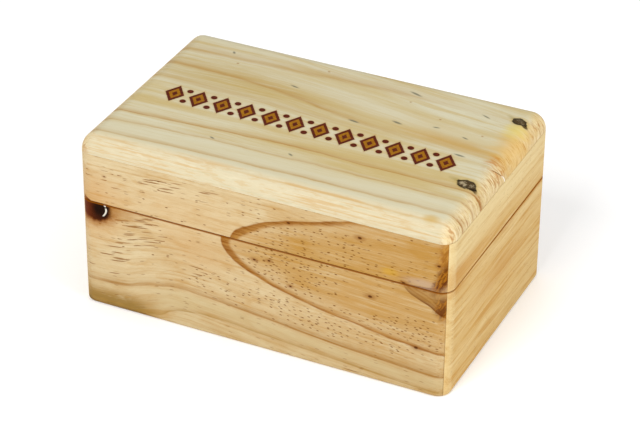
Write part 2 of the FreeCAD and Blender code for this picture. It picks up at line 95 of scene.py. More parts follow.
class G:
    """A material and short names for its nodes."""

    def __init__(self, name):
        self.mat = bpy.data.materials.new(name)
        self.mat.use_nodes = True
        self.t = self.mat.node_tree
        self.t.nodes.clear()
        self.out = self.new("OutputMaterial")
        self.b = self.new("BsdfPrincipled")
        self.t.links.new(self.b.outputs[0], self.out.inputs[0])
        self._tc = None

    def new(self, kind):
        return self.t.nodes.new("ShaderNode" + kind)

    def put(self, sock, v):
        if isinstance(v, S):
            self.t.links.new(v.s, sock)
        elif v is not None:
            sock.default_value = v

    def m(self, op, a, b=None, c=None, clamp=False):
        n = self.new("Math")
        n.operation, n.use_clamp = op, clamp
        for i, v in enumerate((a, b, c)):
            self.put(n.inputs[i], v)
        return S(self, n.outputs[0])

    def abs(self, a):
        return self.m("ABSOLUTE", a)

    def min(self, a, b):
        return self.m("MINIMUM", a, b)

    def max(self, a, b):
        return self.m("MAXIMUM", a, b)

    def exp(self, a):
        return self.m("EXPONENT", a)

    def sin(self, a):
        return self.m("SINE", a)

    def sqrt(self, a):
        return self.m("SQRT", a)

    def clamp(self, a):
        return self.m("ADD", a, 0.0, clamp=True)

    def smooth(self, x, a, b, lo=0.0, hi=1.0):
        n = self.new("MapRange")
        n.interpolation_type = "SMOOTHSTEP"
        for i, v in enumerate((x, a, b, lo, hi)):
            self.put(n.inputs[i], v)
        return S(self, n.outputs[0])

    def gauss(self, x, w):
        q = x / w
        return self.exp(-(q * q))

    def coords(self, which="Object", scale=1000.0):
        """Separate coordinates, in millimetres."""
        if self._tc is None:
            self._tc = self.new("TexCoord")
        n = self.new("SeparateXYZ")
        self.t.links.new(self._tc.outputs[which], n.inputs[0])
        return [S(self, n.outputs[i]) * scale for i in range(3)]

    def vec(self, x, y=0.0, z=0.0):
        n = self.new("CombineXYZ")
        for i, v in enumerate((x, y, z)):
            self.put(n.inputs[i], v)
        return S(self, n.outputs[0])

    def noise(self, v, detail=2.0, rough=0.5, dist=0.0, dims="3D"):
        n = self.new("TexNoise")
        n.noise_dimensions = dims
        self.put(n.inputs["Vector"], v)
        n.inputs["Scale"].default_value = 1.0
        n.inputs["Detail"].default_value = detail
        n.inputs["Roughness"].default_value = rough
        n.inputs["Distortion"].default_value = dist
        return S(self, n.outputs[0])

    def cells(self, v, rand=1.0, dims="2D", feature="F1"):
        """Voronoi distance and two random numbers per cell."""
        n = self.new("TexVoronoi")
        n.voronoi_dimensions, n.feature = dims, feature
        self.put(n.inputs["Vector"], v)
        n.inputs["Scale"].default_value = 1.0
        n.inputs["Randomness"].default_value = rand
        c = self.new("SeparateColor")
        self.t.links.new(n.outputs["Color"], c.inputs[0])
        return S(self, n.outputs["Distance"]), S(self, c.outputs[0]), S(self, c.outputs[1])

    def curve(self, x, pts):
        """y(x) through the given points, for a line that isn't straight."""
        xs, ys = [p[0] for p in pts], [p[1] for p in pts]
        x0, x1, y0, y1 = min(xs), max(xs), min(ys) - 1.0, max(ys) + 1.0
        n = self.new("FloatCurve")
        c = n.mapping.curves[0]
        while len(c.points) < len(pts):
            c.points.new(0.5, 0.5)
        for p, (a, b) in zip(c.points, sorted(pts)):
            p.location = ((a - x0) / (x1 - x0), (b - y0) / (y1 - y0))
            p.handle_type = "AUTO"
        n.mapping.update()
        self.put(n.inputs["Value"], self.m("MULTIPLY_ADD", x, 1.0 / (x1 - x0), -x0 / (x1 - x0), clamp=True))
        return self.m("MULTIPLY_ADD", S(self, n.outputs[0]), y1 - y0, y0)

    def mix(self, f, a, b, mode="MIX"):
        n = self.new("Mix")
        n.data_type, n.blend_type = "RGBA", mode
        n.clamp_factor = True
        self.put(n.inputs[0], f)
        self.put(n.inputs[6], a)
        self.put(n.inputs[7], b)
        return S(self, n.outputs[2])

    def bump(self, height, mm, strength=1.0):
        n = self.new("Bump")
        n.inputs["Strength"].default_value = strength
        n.inputs["Distance"].default_value = mm / 1000.0
        self.put(n.inputs["Height"], height)
        self.t.links.new(n.outputs[0], self.b.inputs["Normal"])

    def finish(self, **sockets):
        for k, v in sockets.items():
            self.put(self.b.inputs[k.replace("_", " ")], v)
        return self.mat


def shade(mat, *objects):
    for o in objects:
        o.data.materials.clear()
        o.data.materials.append(mat)


# ------------------------------------------------------------------ pine
def lacquer(g, colour, rough, height, mm):
    g.bump(height, mm)
    return g.finish(
        Base_Color=colour, Roughness=rough, Specular_IOR_Level=0.05, Specular_Tint=(1.0, 0.80, 0.50, 1.0)
    )


def skin(g, X, Y, r=7.0):
    """Depth under the box's upright outer faces, round its corners too."""
    qx, qy = g.abs(X) - (100.0 - r), g.abs(Y) - (63.5 - r)
    ax, ay = g.max(qx, 0.0), g.max(qy, 0.0)
    return r - g.sqrt(ax * ax + ay * ay) - g.min(g.max(qx, qy), 0.0)


def late(g, d, soft, sharp):
    """Latewood line at d = 0: fades slowly on the d < 0 side and stops sharply on the other."""
    return g.min(g.exp(g.min(d, 0.0) / soft), g.smooth(d, sharp, 0.0))


def dashes(g, u, v, length, width, keep, thr=0.2):
    """Resin canals: short dark strokes along u."""
    d, r, s = g.cells(g.vec(u / length, v / width))
    return g.smooth(d, thr, thr * 0.55) * g.smooth(r, keep, keep + 0.02) * (s * 0.45 + 0.55)


def spot(g, u, v, c, ru, rv, wob=None, edge=0.25):
    """A soft-edged elliptical spot: 1 inside."""
    a, b = (u - c[0]) / ru, (v - c[1]) / rv
    q = g.sqrt(a * a + b * b)
    if wob is not None:
        q = q + wob
    return g.smooth(q, 1.0 + edge, 1.0 - edge), q


def pine_front():
    g = G("pine_front")
    T = lambda a, b, c: seen(a, b, c, 1.33)
    X, Y, Z = g.coords()
    depth = Y + 63.5
    w = (g.noise(g.vec(X * 0.018, Y * 0.03, Z * 0.045), 3, 0.55) - 0.5) * 2.0
    wf = (g.noise(g.vec(X * 0.09, Y * 0.2, Z * 0.30), 3, 0.6) - 0.5) * 2.0
    # lower lines of the board, as height over length
    gB = g.curve(X, [(-100, 14.3), (-78, 15.2), (-66.7, 18.2), (-55, 21.2), (-43, 22.7), (-33, 22.0), (0, 19.2), (33, 15.8), (66, 13.5), (100, 11.4)])
    gC = g.curve(X, [(-100, 4.2), (-77, 2.6), (-60, 2.8), (-50, 7.3), (-38, 9.9), (-26.7, 10.6), (0, 9.0), (33, 6.8), (58, 4.8), (100, 2.0)])
    flow = (gB - 17.0) * g.smooth(Z, 70.0, 26.0)
    zf = Z - flow + w * 1.0
    # the pointed arch that opens to the right: D is the distance outside its edge
    lid = g.smooth(Z, 59.95, 60.05)                            # the saw cut shifts it a little on the lid
    t = X + 20.6 + depth * 2.0 - lid * 4.6
    wm = (g.noise(g.vec(X * 0.055, Y * 0.1, Z * 0.14), 2, 0.55) - 0.5) * 2.0
    zz = Z - 57.6 + w * 0.9 + wf * 0.6 + wm * 1.3
    tp = g.max(t, 0.0)
    gx = 12.6 - tp * 0.054 * (1.0 - lid)
    reach = t * 12.6 - tp * tp * 0.027 * (1.0 - lid) + g.smooth(t, 0.0, 4.0) * lid * 25.0
    D = (zz * zz - reach) / g.sqrt(gx * gx + zz * zz * 4.0)
    upper = g.smooth(zz, -2.0, 6.0)
    wide = 1.35 + wm * 0.8 + upper * 0.30 + g.exp(tp / -9.0) * 4.6 + g.exp(tp / -34.0) * upper * 1.0
    band = g.smooth(D, 0.60, -0.30) * g.smooth(D + wide, -2.0, 1.2)
    trail = g.smooth(D, 0.8, -0.3) * g.exp(g.min(D, 0.0) / 6.5)
    inside = g.smooth(D, 1.5, -16.0)
    dB = gB - Z - w * 0.5 - wf * 0.3
    dC = gC - Z - w * 0.5 - wf * 0.3
    lineB = late(g, dB, 1.5, 0.9)
    lineC = late(g, dC, 1.2, 0.8)
    wideB = g.exp(g.min(dB, 0.0) / 6.0) * g.smooth(dB, 2.0, 0.0)
    wideC = g.exp(g.min(dC, 0.0) / 4.0) * g.smooth(dC, 2.0, 0.0)
    # fibres
    f1 = g.noise(g.vec(X * 0.012, Y * 0.35, zf * 0.42), 3, 0.55)
    f2 = g.noise(g.vec(X * 0.030, Y * 1.0, zf * 0.95), 4, 0.65)
    f3 = g.noise(g.vec(X * 0.13, Y * 3.4, zf * 3.6), 3, 0.65)
    cloud = g.noise(g.vec(X * 0.028 + 3.1, Y * 0.03, Z * 0.05), 2, 0.5)
    # base tone: paler at the upper left, warmer towards the right and inside the arch
    warm = g.smooth(X, -65.0, 60.0) * 0.30 + inside * (0.40 + lid * 0.14) + g.smooth(f1, 0.40, 0.68) * 0.20
    warm = warm + g.smooth(cloud, 0.48, 0.74) * 0.30 + g.smooth(Z, 62.0, 30.0) * 0.04 - g.smooth(Z, 13.0, 4.0) * g.smooth(X, -60.0, 30.0) * 0.15
    warm = warm + g.smooth(Z, 15.0, 3.0) * g.smooth(X, -42.0, -70.0) * 0.80
    col = g.mix(g.clamp(warm), T(229, 208, 166), T(196, 149, 77))
    col = g.mix(g.smooth(f2, 0.50, 0.70) * 0.50, col, T(194, 146, 74))
    col = g.mix(g.smooth(f2, 0.48, 0.30) * 0.36, col, T(234, 214, 172))
    col = g.mix(g.smooth(f3, 0.50, 0.70) * 0.34, col, T(172, 122, 60))
    col = g.mix(g.smooth(f3, 0.46, 0.28) * 0.24, col, T(238, 220, 180))
    col = g.mix(g.smooth(Z, 13.0, 2.0) * g.smooth(X, -52.0, -72.0) * 0.88, col, T(130, 101, 40))
    col = g.mix(g.smooth(Z, 2.6, 1.0) * g.smooth(X, -58.0, -68.0) * 0.60, col, T(124, 86, 28))
    mott = g.noise(g.vec(X * 0.075, Y * 0.2, zf * 0.21), 3, 0.6)
    col = g.mix(g.smooth(mott, 0.52, 0.70) * 0.40, col, T(203, 158, 92))
    col = g.mix(g.smooth(mott, 0.47, 0.30) * 0.40 * (1.0 - inside), col, T(232, 215, 175))
    col = g.mix(g.smooth(Z, 30.0, 6.0) * 0.22, col, T(184, 154, 96))
    # a broad pale tongue along the foot of the board, between its two lines
    tongue = g.smooth(dB, 0.5, 3.0) * g.smooth(dC, -1.0, -3.5) * g.smooth(X, -72.0, -40.0)
    col = g.mix(tongue * 0.50, col, T(212, 192, 146))
    # peach around the parting line, left of the arch
    peach, _ = spot(g, X, Z, (-42.0, 64.0), 34.0, 12.0, (cloud - 0.5) * 1.6, 0.8)
    col = g.mix(peach * 0.30, col, T(222, 180, 124))
    dusk, _ = spot(g, X, Z, (-34.0, 46.0), 18.0, 8.0, (cloud - 0.5) * 1.6, 0.8)
    col = g.mix(dusk * 0.40, col, T(208, 158, 94))
    broken = g.smooth(g.noise(g.vec(X * 0.05, 0.0, Z * 0.05), 2, 0.5), 0.20, 0.5, 0.62, 1.0)
    grainy = g.smooth(f2 * 0.6 + f3 * 0.4, 0.36, 0.60, 0.55, 1.0)
    deep = g.exp(g.min(D, 0.0) / (wide * 0.9)) * 0.55 + g.smooth(f2 * 0.5 + f3 * 0.5, 0.40, 0.60) * 0.62
    bandc = g.mix(g.clamp(deep), T(198, 146, 72), T(142, 80, 0))
    col = g.mix(trail * 0.30, col, T(184, 132, 64))
    col = g.mix(band * (broken * 0.4 + 0.6) * g.smooth(tp, 0.0, 90.0, 0.95, 0.84), col, bandc)
    col = g.mix(g.clamp(wideB * 0.24 + wideC * 0.10), col, T(192, 146, 78))
    col = g.mix(lineB * broken * grainy * (0.56 + g.smooth(X, -68.0, -82.0) * 0.42 + g.smooth(X, -40.0, -8.0) * 0.30), col, T(160, 108, 36))
    col = g.mix(lineC * 0.72 * broken * grainy, col, T(172, 134, 66))
    # resin canals: long on the left, short and crowded inside the arch
    where = None
    for c, ru, rv, k in (((-66.0, 49.0), 13.5, 9.0, 0.85), ((-81.0, 33.5), 12.0, 7.0, 0.42), ((-84.0, 23.0), 12.0, 4.0, 0.36), ((-39.0, 36.5), 9.0, 6.0, 0.42), ((-46.0, 81.0), 27.0, 5.0, 0.40), ((-70.0, 74.0), 14.0, 4.0, 0.34), ((-88.0, 78.0), 7.0, 5.0, 0.40)):
        m, _ = spot(g, X, Z, c, ru, rv, (cloud - 0.5) * 0.8, 0.25)
        where = m * k if where is None else g.max(where, m * k)
    keep = 0.985 - where
    left = g.max(dashes(g, X, zf - X * 0.06, 25.0, 1.65, keep, 0.23), dashes(g, X + 9.0, zf - X * 0.05 + 31.7, 17.0, 1.5, keep, 0.24))
    where = None
    for c, ru, rv, k in (((16.0, 50.0), 23.0, 12.0, 0.80), ((80.0, 31.0), 26.0, 9.0, 0.85), ((30.0, 70.0), 30.0, 9.0, 0.48), ((44.0, 28.0), 44.0, 9.0, 0.70), ((76.0, 66.0), 24.0, 8.0, 0.30), ((-22.0, 30.0), 20.0, 7.0, 0.40)):
        m, _ = spot(g, X, Z, c, ru, rv, (cloud - 0.5) * 0.9, 0.45)
        where = m * k if where is None else g.max(where, m * k)
    clear = g.clamp(g.smooth(D, -1.0, -3.5) + g.smooth(D, 1.0, 3.5)) * g.smooth(dB, 0.0, -1.5)
    short = dashes(g, X, zf, 4.2, 1.55, 0.95 - where, 0.22) * clear
    few = dashes(g, X, zf, 8.0, 1.5, 0.80, 0.19)
    near = g.smooth(depth, 1.6, 0.5)
    left, short, few = left * near, short * near, few * near
    col = g.mix(left * 0.92, col, T(140, 84, 16))
    col = g.mix(short * 0.94, col, T(126, 74, 8))
    col = g.mix(few * 0.50, col, T(136, 82, 10))
    # knot at the left end, cut by the parting line
    kw = (g.noise(g.vec(X * 0.22, Y * 0.22, Z * 0.22), 3, 0.6) - 0.5) * 0.75
    under = g.smooth(Z - g.max(-93.0 - X, 0.0) * 0.5, 60.9, 60.1)
    tail, _ = spot(g, X, Z, (-85.0, 58.2), 16.0, 5.0, kw * 0.8, 0.7)
    halo, _ = spot(g, X, Z, (-91.0, 56.2), 11.2, 9.0, kw * 0.8, 0.40)
    glow, _ = spot(g, X, Z, (-94.0, 58.0), 17.0, 17.0, kw * 0.8, 0.75)
    col = g.mix(glow * 0.55, col, T(212, 156, 86))
    col = g.mix(tail * under * 0.55, col, T(172, 114, 40))
    col = g.mix(halo * under * 0.78, col, T(158, 94, 14))
    knot, kq = spot(g, X, Z, (-91.4, 56.0), 8.9, 6.8, kw, 0.24)
    knot = knot * under
    kcol = g.mix(g.clamp(g.smooth(X, -97.0, -89.5) * 0.8 + g.smooth(kw, 0.02, 0.20) * 0.3), lin(90, 32, 2), lin(38, 7, 0))
    kcol = g.mix(g.smooth(kq, 0.72, 1.05) * 0.55, kcol, lin(124, 58, 6))
    col = g.mix(knot * 0.98, col, kcol)
    core, _ = spot(g, X, Z, (-87.2, 56.8), 5.0, 4.0, kw, 0.5)
    col = g.mix(core * under * 0.94, col, lin(20, 3, 0))
    bow = X + 84.7 + (Z - 57.0) * (Z - 57.0) * 0.12
    gaps = g.max(g.smooth(Z, 52.7, 53.8) * g.smooth(Z, 58.3, 57.8), g.smooth(Z, 58.7, 59.0) * g.smooth(Z, 60.0, 59.8))
    # a crack across the knot, painted near white along its lip: a painted highlight
    crack_with_glint = g.smooth(g.abs(bow + wf * 0.45), 0.66, 0.34) * gaps
    col = g.mix(crack_with_glint * 0.95, col, T(246, 238, 222))
    # spike knot at the right end, its point on the parting line
    zl = g.curve(X, [(75.6, 60.4), (79.0, 56.6), (84.0, 54.0), (90.0, 51.5), (94.0, 48.8), (100.0, 44.4)])
    zu = g.curve(X, [(75.6, 60.6), (84.0, 61.0), (91.0, 61.9), (94.5, 63.6), (96.5, 66.5), (100.0, 73.0)])
    dl, du = Z - zl + wf * 0.4, zu - Z + wf * 0.4
    span = g.smooth(X, 75.0, 78.5)
    spike = g.smooth(dl, -0.5, 0.6) * g.smooth(du, -0.5, 0.6) * span
    col = g.mix(spike * 0.50, col, g.mix(g.smooth(Z, 59.5, 60.8), T(176, 130, 68), T(196, 166, 130)))
    edge = g.max(late(g, -dl, 1.6, 0.7), late(g, -du, 1.5, 0.6)) * span
    col = g.mix(edge * g.smooth(X, 76.0, 94.0, 0.60, 0.95), col, T(112, 56, 4))
    rays = g.clamp(g.gauss(dl - 2.4 + wf * 0.4, 0.55) * 0.45 + g.gauss(dl - 4.6 + wf * 0.5, 0.6) * 0.40)
    col = g.mix(rays * span * (1.0 - lid), col, T(146, 92, 32))
    lilac, _ = spot(g, X, Z, (86.5, 63.2), 9.0, 2.2, kw * 0.6, 0.7)
    col = g.mix(lilac * 0.50, col, T(206, 184, 166))
    curl = g.smooth(g.noise(g.vec(X * 0.30 + Z * 0.16, Y * 0.2, Z * 0.42 - X * 0.80), 3, 0.6), 0.42, 0.60)
    burnt = g.mix(curl, T(104, 50, 0), T(166, 104, 20))
    burl, _ = spot(g, X, Z, (97.5, 51.0), 4.6, 6.0, kw * 1.2, 0.55)
    col = g.mix(burl * 0.88, col, burnt)
    burl2, _ = spot(g, X - (Z - 68.0) * 0.42, Z, (96.6, 68.0), 3.6, 9.0, kw * 1.2, 0.55)
    burl3, _ = spot(g, X, Z, (97.6, 79.0), 3.8, 9.5, kw * 1.2, 0.70)
    col = g.mix(burl3 * 0.80, col, g.mix(curl, T(158, 96, 18), T(190, 132, 52)))
    col = g.mix(burl2 * 0.95, col, burnt)
    # pin knots
    for c, r in (((53.3, 79.4), 0.95), ((59.2, 48.0), 1.05), ((83.8, 25.8), 1.05), ((-2.5, 51.4), 0.75), ((5.4, 53.0), 0.7), ((15.8, 77.4), 0.8), ((94.0, 75.0), 0.8), ((76.3, 60.6), 0.9), ((17.0, 41.5), 0.7), ((-85.0, 76.5), 0.42)):
        h, _ = spot(g, X, Z, c, r * 2.8, r * 1.5, kw * 0.8, 0.7)
        k, _ = spot(g, X, Z, c, r * 1.05, r * 0.68, kw * 0.8, 0.35)
        col = g.mix(h * near * 0.54, col, T(150, 92, 32))
        col = g.mix(k * near * 0.9, col, T(92, 46, 8))
    stain, _ = spot(g, X, Z, (69.0, 65.0), 4.0, 1.8, kw, 0.7)
    col = g.mix(stain * 0.5, col, T(222, 172, 52))
    # shut line, painted dark: partly the edge's own darkening, partly painted shade in the gap; and the mitres at the
    # corners
    cut = g.smooth(g.abs(Z - 60.0), 0.66, 0.42) * g.smooth(skin(g, X, Y), 1.6, 0.7)
    col = g.mix(cut * 0.85, col, T(150, 84, 0))
    mitre = g.smooth(g.abs(X) - 36.5 + Y, -0.75, -0.15) * g.smooth(skin(g, X, Y), 1.6, 0.7)
    col = g.mix(mitre * g.smooth(Z, 60.0, 20.0, 0.25, 0.60), col, T(132, 98, 40))
    height = f2 * 0.35 + f3 * 0.35 - (left + short + few) * 0.6 - band * 0.12 - crack_with_glint * 1.2 - knot * kw
    return lacquer(g, col, g.smooth(f2, 0.3, 0.7, 0.42, 0.54), height, 0.16)


def pine_end(name, seed, sign):
    """End boards: grain runs along Y, soft level streaks."""
    g = G(name)
    T = lambda a, b, c: seen(a, b, c, 1.22)
    X, Y, Z = g.coords()
    u = Y * sign + seed * 37.0
    w = (g.noise(g.vec(u * 0.014, X * 0.03 + seed, Z * 0.035), 2, 0.5) - 0.5) * 2.0
    zf = Z + w * 3.2 + (Y - 10.0) * 0.02
    f0 = g.noise(g.vec(u * 0.007, X * 0.1 + seed, zf * 0.11), 2, 0.5)
    f1 = g.noise(g.vec(u * 0.016, X * 0.4 + seed, zf * 0.38), 3, 0.55)
    f2 = g.noise(g.vec(u * 0.034, X * 1.0 + seed, zf * 0.85), 4, 0.65)
    f3 = g.noise(g.vec(u * 0.14, X * 3.2 + seed, zf * 3.4), 3, 0.65)
    lid = g.smooth(Z, 62.0, 80.0)
    warm = g.smooth(f0, 0.32, 0.66) * 0.36 + g.smooth(f1, 0.42, 0.72) * 0.45 - lid * 0.58 + 0.30
    col = g.mix(g.clamp(warm), T(231, 207, 152), T(206, 160, 82))
    col = g.mix(g.smooth(f2, 0.50, 0.72) * 0.34 * (1.0 - lid * 0.5), col, T(200, 150, 70))
    col = g.mix(g.smooth(f2, 0.48, 0.30) * 0.46, col, T(236, 214, 162))
    col = g.mix(g.smooth(f1, 0.52, 0.68) * 0.38 * (1.0 - lid * 0.5), col, T(194, 138, 60))
    col = g.mix(g.smooth(f3, 0.50, 0.70) * 0.28, col, T(176, 124, 54))
    col = g.mix(g.smooth(f3, 0.46, 0.28) * 0.20, col, T(238, 216, 168))
    # warm band just over the parting line, towards the front
    seam = g.gauss(Z - 64.5, 6.0) * g.smooth(Y, 10.0, -50.0)
    col = g.mix(seam * 0.62, col, T(200, 144, 62))
    corner, _ = spot(g, Y, Z, (-60.0, 66.0), 12.0, 7.0, (f2 - 0.5) * 1.2, 0.8)
    col = g.mix(corner * 0.25, col, T(190, 130, 52))
    # painted highlight: a paler strip down the rounded front corner
    col = g.mix(g.smooth(Y, -55.0, -58.0) * g.smooth(f3, 0.3, 0.6, 0.50, 0.28), col, T(240, 216, 164))
    patch, _ = spot(g, Y, Z, (-2.0, 38.0), 26.0, 7.0, (f1 - 0.5) * 1.2, 0.8)
    col = g.mix(patch * 0.42, col, T(196, 142, 64))
    # shut line painted dark: partly the edge's own darkening, partly painted shade in the gap
    cut = g.smooth(g.abs(Z - 60.0), g.smooth(Y, -60.0, 55.0, 0.72, 1.15), 0.4) * g.smooth(skin(g, X, Y), 1.6, 0.7)
    col = g.mix(cut * g.smooth(Y, -60.0, 20.0, 0.60, 0.95), col, T(158, 94, 0))
    d = dashes(g, u, zf + X * 0.9, 5.0, 1.1, 0.82, 0.19)
    col = g.mix(d * 0.50, col, T(158, 106, 46))
    return lacquer(g, col, g.smooth(f2, 0.3, 0.7, 0.42, 0.54), f2 * 0.4 + f3 * 0.35 - d * 0.5, 0.09)


def pine_top():
    g = G("pine_top")
    T = lambda a, b, c: seen(a, b, c, 1.155)
    X, Y, Z = g.coords()
    w = (g.noise(g.vec(X * 0.015, Y * 0.035, Z * 0.03), 3, 0.5) - 0.5) * 2.0
    wf = (g.noise(g.vec(X * 0.07, Y * 0.25, Z * 0.2), 3, 0.6) - 0.5) * 2.0
    slant = g.smooth(Y, -24.0, 20.0) * g.smooth(X, -90.0, 10.0)
    yf = Y + w * 3.0 + wf * 0.7 + (X + 20.0) * 0.13 * slant
    f0 = g.noise(g.vec(X * 0.008, yf * 0.085, Z * 0.1), 2, 0.5)
    f1 = g.noise(g.vec(X * 0.014, yf * 0.30, Z * 0.3), 3, 0.55)
    f2 = g.noise(g.vec(X * 0.032, yf * 0.85, Z * 1.0), 4, 0.65)
    f3 = g.noise(g.vec(X * 0.13, yf * 3.4, Z * 3.4), 3, 0.65)
    strip = g.smooth(Y, -34.0, -46.0)
    col = g.mix(g.smooth(f0, 0.42, 0.66) * (1.0 - strip * 0.6), T(213, 207, 178), T(202, 183, 132))
    col = g.mix(g.smooth(f1, 0.46, 0.70) * 0.55 * (1.0 - strip * 0.5), col, T(199, 175, 118))
    col = g.mix(g.smooth(f1, 0.46, 0.30) * 0.35, col, T(217, 212, 188))
    col = g.mix(g.smooth(f2, 0.48, 0.74) * 0.36, col, T(194, 170, 116))
    col = g.mix(g.smooth(f2, 0.46, 0.28) * 0.28, col, T(220, 214, 190))
    col = g.mix(g.smooth(f3, 0.5, 0.75) * 0.28, col, T(170, 146, 96))
    col = g.mix(g.smooth(f3, 0.46, 0.25) * 0.18, col, T(224, 218, 196))
    pale = g.curve(X, [(-100, 33.0), (-40, 31.5), (20, 25.5), (60, 20.0), (100, 15.0)]) - Y
    col = g.mix(g.gauss(pale + w * 2.0, 8.0) * g.smooth(X, -80.0, -30.0) * 0.34, col, T(218, 213, 190))
    col = g.mix(strip * 0.50, col, T(213, 206, 177))
    tan, _ = spot(g, X, yf, (-46.0, 18.0), 48.0, 13.0, (f0 - 0.5) * 1.4 + wf * 0.2, 0.85)
    col = g.mix(tan * g.smooth(f2, 0.30, 0.62, 0.30, 0.72), col, T(190, 165, 104))
    # front round-over: painted paler, a painted highlight where light falls on the rounded edge; faint peach grain
    # streaks along it, and greenish and pale streaks of painted reflection
    fr = g.smooth(Y, -54.5, -58.5)
    rn = g.noise(g.vec(X * 0.022, Y * 0.15, Z * 0.85 + 3.0), 4, 0.6)
    col = g.mix(fr * 0.60, col, T(218, 203, 170))
    col = g.mix(fr * g.smooth(rn, 0.50, 0.64) * 0.62, col, T(206, 168, 112))
    col = g.mix(fr * g.smooth(rn, 0.46, 0.34) * 0.55, col, T(202, 196, 164))
    rm = g.noise(g.vec(X * 0.12, Y * 0.3, Z * 0.8 + 11.0), 3, 0.6)
    col = g.mix(fr * g.smooth(rm, 0.51, 0.66) * 0.42, col, T(206, 174, 122))
    col = g.mix(fr * g.smooth(rm, 0.46, 0.32) * 0.42, col, T(228, 219, 190))
    col = g.mix(g.gauss(Y + 58.4 + w * 0.8 + wf * 0.3, 0.55) * g.smooth(X, -40.0, 40.0, 0.15, 0.42), col, T(196, 158, 96))
    # end grain where the round-over cuts across the fibres
    endm = g.smooth(g.abs(X), 91.5, 98.5)
    pores = g.noise(g.vec(X * 0.5, Y * 2.4, Z * 2.0), 3, 0.65)
    strokes = g.noise(g.vec(X * 0.16, yf * 0.62, Z * 0.16), 4, 0.62, 0.4)
    fine = g.noise(g.vec(X * 0.25, yf * 2.2, Z * 0.25), 3, 0.65)
    ecol = g.mix(g.smooth(pores, 0.5, 0.72) * 0.30, T(234, 211, 160), T(196, 146, 72))
    ecol = g.mix(g.smooth(strokes, 0.51, 0.64) * 0.78, ecol, T(178, 114, 36))
    ecol = g.mix(g.smooth(fine, 0.53, 0.68) * 0.62, ecol, T(160, 100, 32))
    # near-white strokes across the end grain: painted glints
    ecol = g.mix(g.smooth(strokes, 0.46, 0.34) * 0.50, ecol, T(244, 230, 196))
    ecol = g.mix(g.smooth(fine, 0.42, 0.28) * 0.60, ecol, T(250, 240, 216))
    col = g.mix(endm * 0.84, col, ecol)
    lip = g.smooth(g.abs(Z - 87.1), 0.60, 0.18) * g.smooth(X, 97.0, 99.0) * g.smooth(fine, 0.36, 0.56)
    col = g.mix(lip * 0.70, col, T(132, 88, 34))
    # the growth lines that show as streaks along the board: points, widths, depth, where it fades
    for pts, soft, sharp, wide, deep, lo, hi in (
        ([(-100, -32.0), (-50, -29.6), (-17, -27.6), (8, -26.6), (27, -27.2), (100, -28.6)], 1.6, 1.0, 7.0, 0.74, -300.0, -299.0),
        ([(-100, -42.4), (-33, -38.6), (30, -37.8), (100, -38.4)], 0.9, 0.8, 3.5, 0.52, -300.0, -299.0),
        ([(-100, -54.2), (-17, -51.6), (40, -51.0), (100, -50.8)], 1.3, 1.0, 4.0, 0.52, -300.0, -299.0),
        ([(-100, 24.0), (-60, 23.4), (-33, 20.5), (8, 11.5), (40, 6.5), (100, 3.0)], 2.6, 2.2, 9.0, 0.52, 60.0, -10.0),
        ([(-100, 40.0), (-40, 43.0), (20, 45.5), (100, 38.0)], 4.0, 3.6, 9.0, 0.42, 70.0, 10.0),
        ([(-100, 9.0), (-40, 6.5), (20, 3.5), (100, -2.0)], 3.0, 2.6, 6.0, 0.24, 40.0, -10.0),
    ):
        d = g.curve(X, pts) - Y - w * 1.0 - wf * 1.2
        fade = g.smooth(X, lo, hi, 0.30, 1.0) * g.smooth(f2, 0.25, 0.7, 0.60, 1.0)
        col = g.mix(g.exp(g.min(d, 0.0) / wide) * g.smooth(d, 3.0, 0.0) * deep * 0.60 * fade, col, T(198, 168, 100))
        col = g.mix(late(g, d, soft, sharp) * g.clamp(deep * fade * (1.0 + endm * 0.35)), col, g.mix(endm, T(170, 120, 48), T(154, 92, 26)))
    patch, _ = spot(g, X, yf, (72.0, 20.5), 26.0, 5.5, wf * 0.5, 0.75)
    col = g.mix(patch * 0.55, col, T(194, 150, 70))
    upside = g.smooth(Z, 91.0, 93.0)
    # short grey flecks in the lacquer
    for c, ln, wd, an in (((33.5, 47.7), 3.4, 0.7, -0.35), ((36.7, 16.9), 2.4, 0.7, -0.2), ((16.7, 8.8), 2.6, 0.6, -0.15), ((-25.0, 27.7), 2.4, 0.6, -0.25), ((2.8, -34.5), 1.5, 0.6, -0.5), ((74.0, 41.8), 2.4, 0.5, -0.4), ((72.5, 17.6), 1.7, 0.5, -0.3), ((55.8, 21.0), 1.7, 0.5, 0.1), ((76.5, 1.0), 2.4, 0.6, -0.1), ((-39.0, -36.5), 1.3, 0.5, -0.4), ((-69.0, 46.5), 1.1, 0.6, -0.9)):
        a, b = X - c[0], Y - c[1]
        u, v = a * math.cos(an) + b * math.sin(an), b * math.cos(an) - a * math.sin(an)
        k, _ = spot(g, u, v, (0.0, 0.0), ln, wd, wf * 0.7, 0.6)
        col = g.mix(k * upside * 0.80, col, T(108, 108, 92))
    for c, r in (((54.5, 29.2), 0.55), ((79.5, 23.0), 0.5), ((34.2, 39.0), 0.5), ((-62.0, 37.0), 0.6), ((-16.0, 49.5), 0.5)):
        k, _ = spot(g, X, Y, c, r * 1.3, r, wf * 0.4, 0.5)
        col = g.mix(k * upside * 0.7, col, T(160, 112, 56))
    rub, _ = spot(g, X, Y, (87.0, -57.2), 3.4, 2.2, wf * 0.6, 0.8)
    col = g.mix(rub * 0.60, col, T(198, 160, 78))
    # stain at the right-hand edge, between the knots
    st, _ = spot(g, X, Y, (97.0, 22.0), 8.0, 17.0, wf * 0.8, 0.75)
    col = g.mix(st * 0.50, col, T(222, 172, 76))
    st2, _ = spot(g, X, Y, (92.0, 36.0), 4.5, 6.5, wf * 0.6, 0.8)
    col = g.mix(st2 * 0.55, col, T(226, 206, 104))
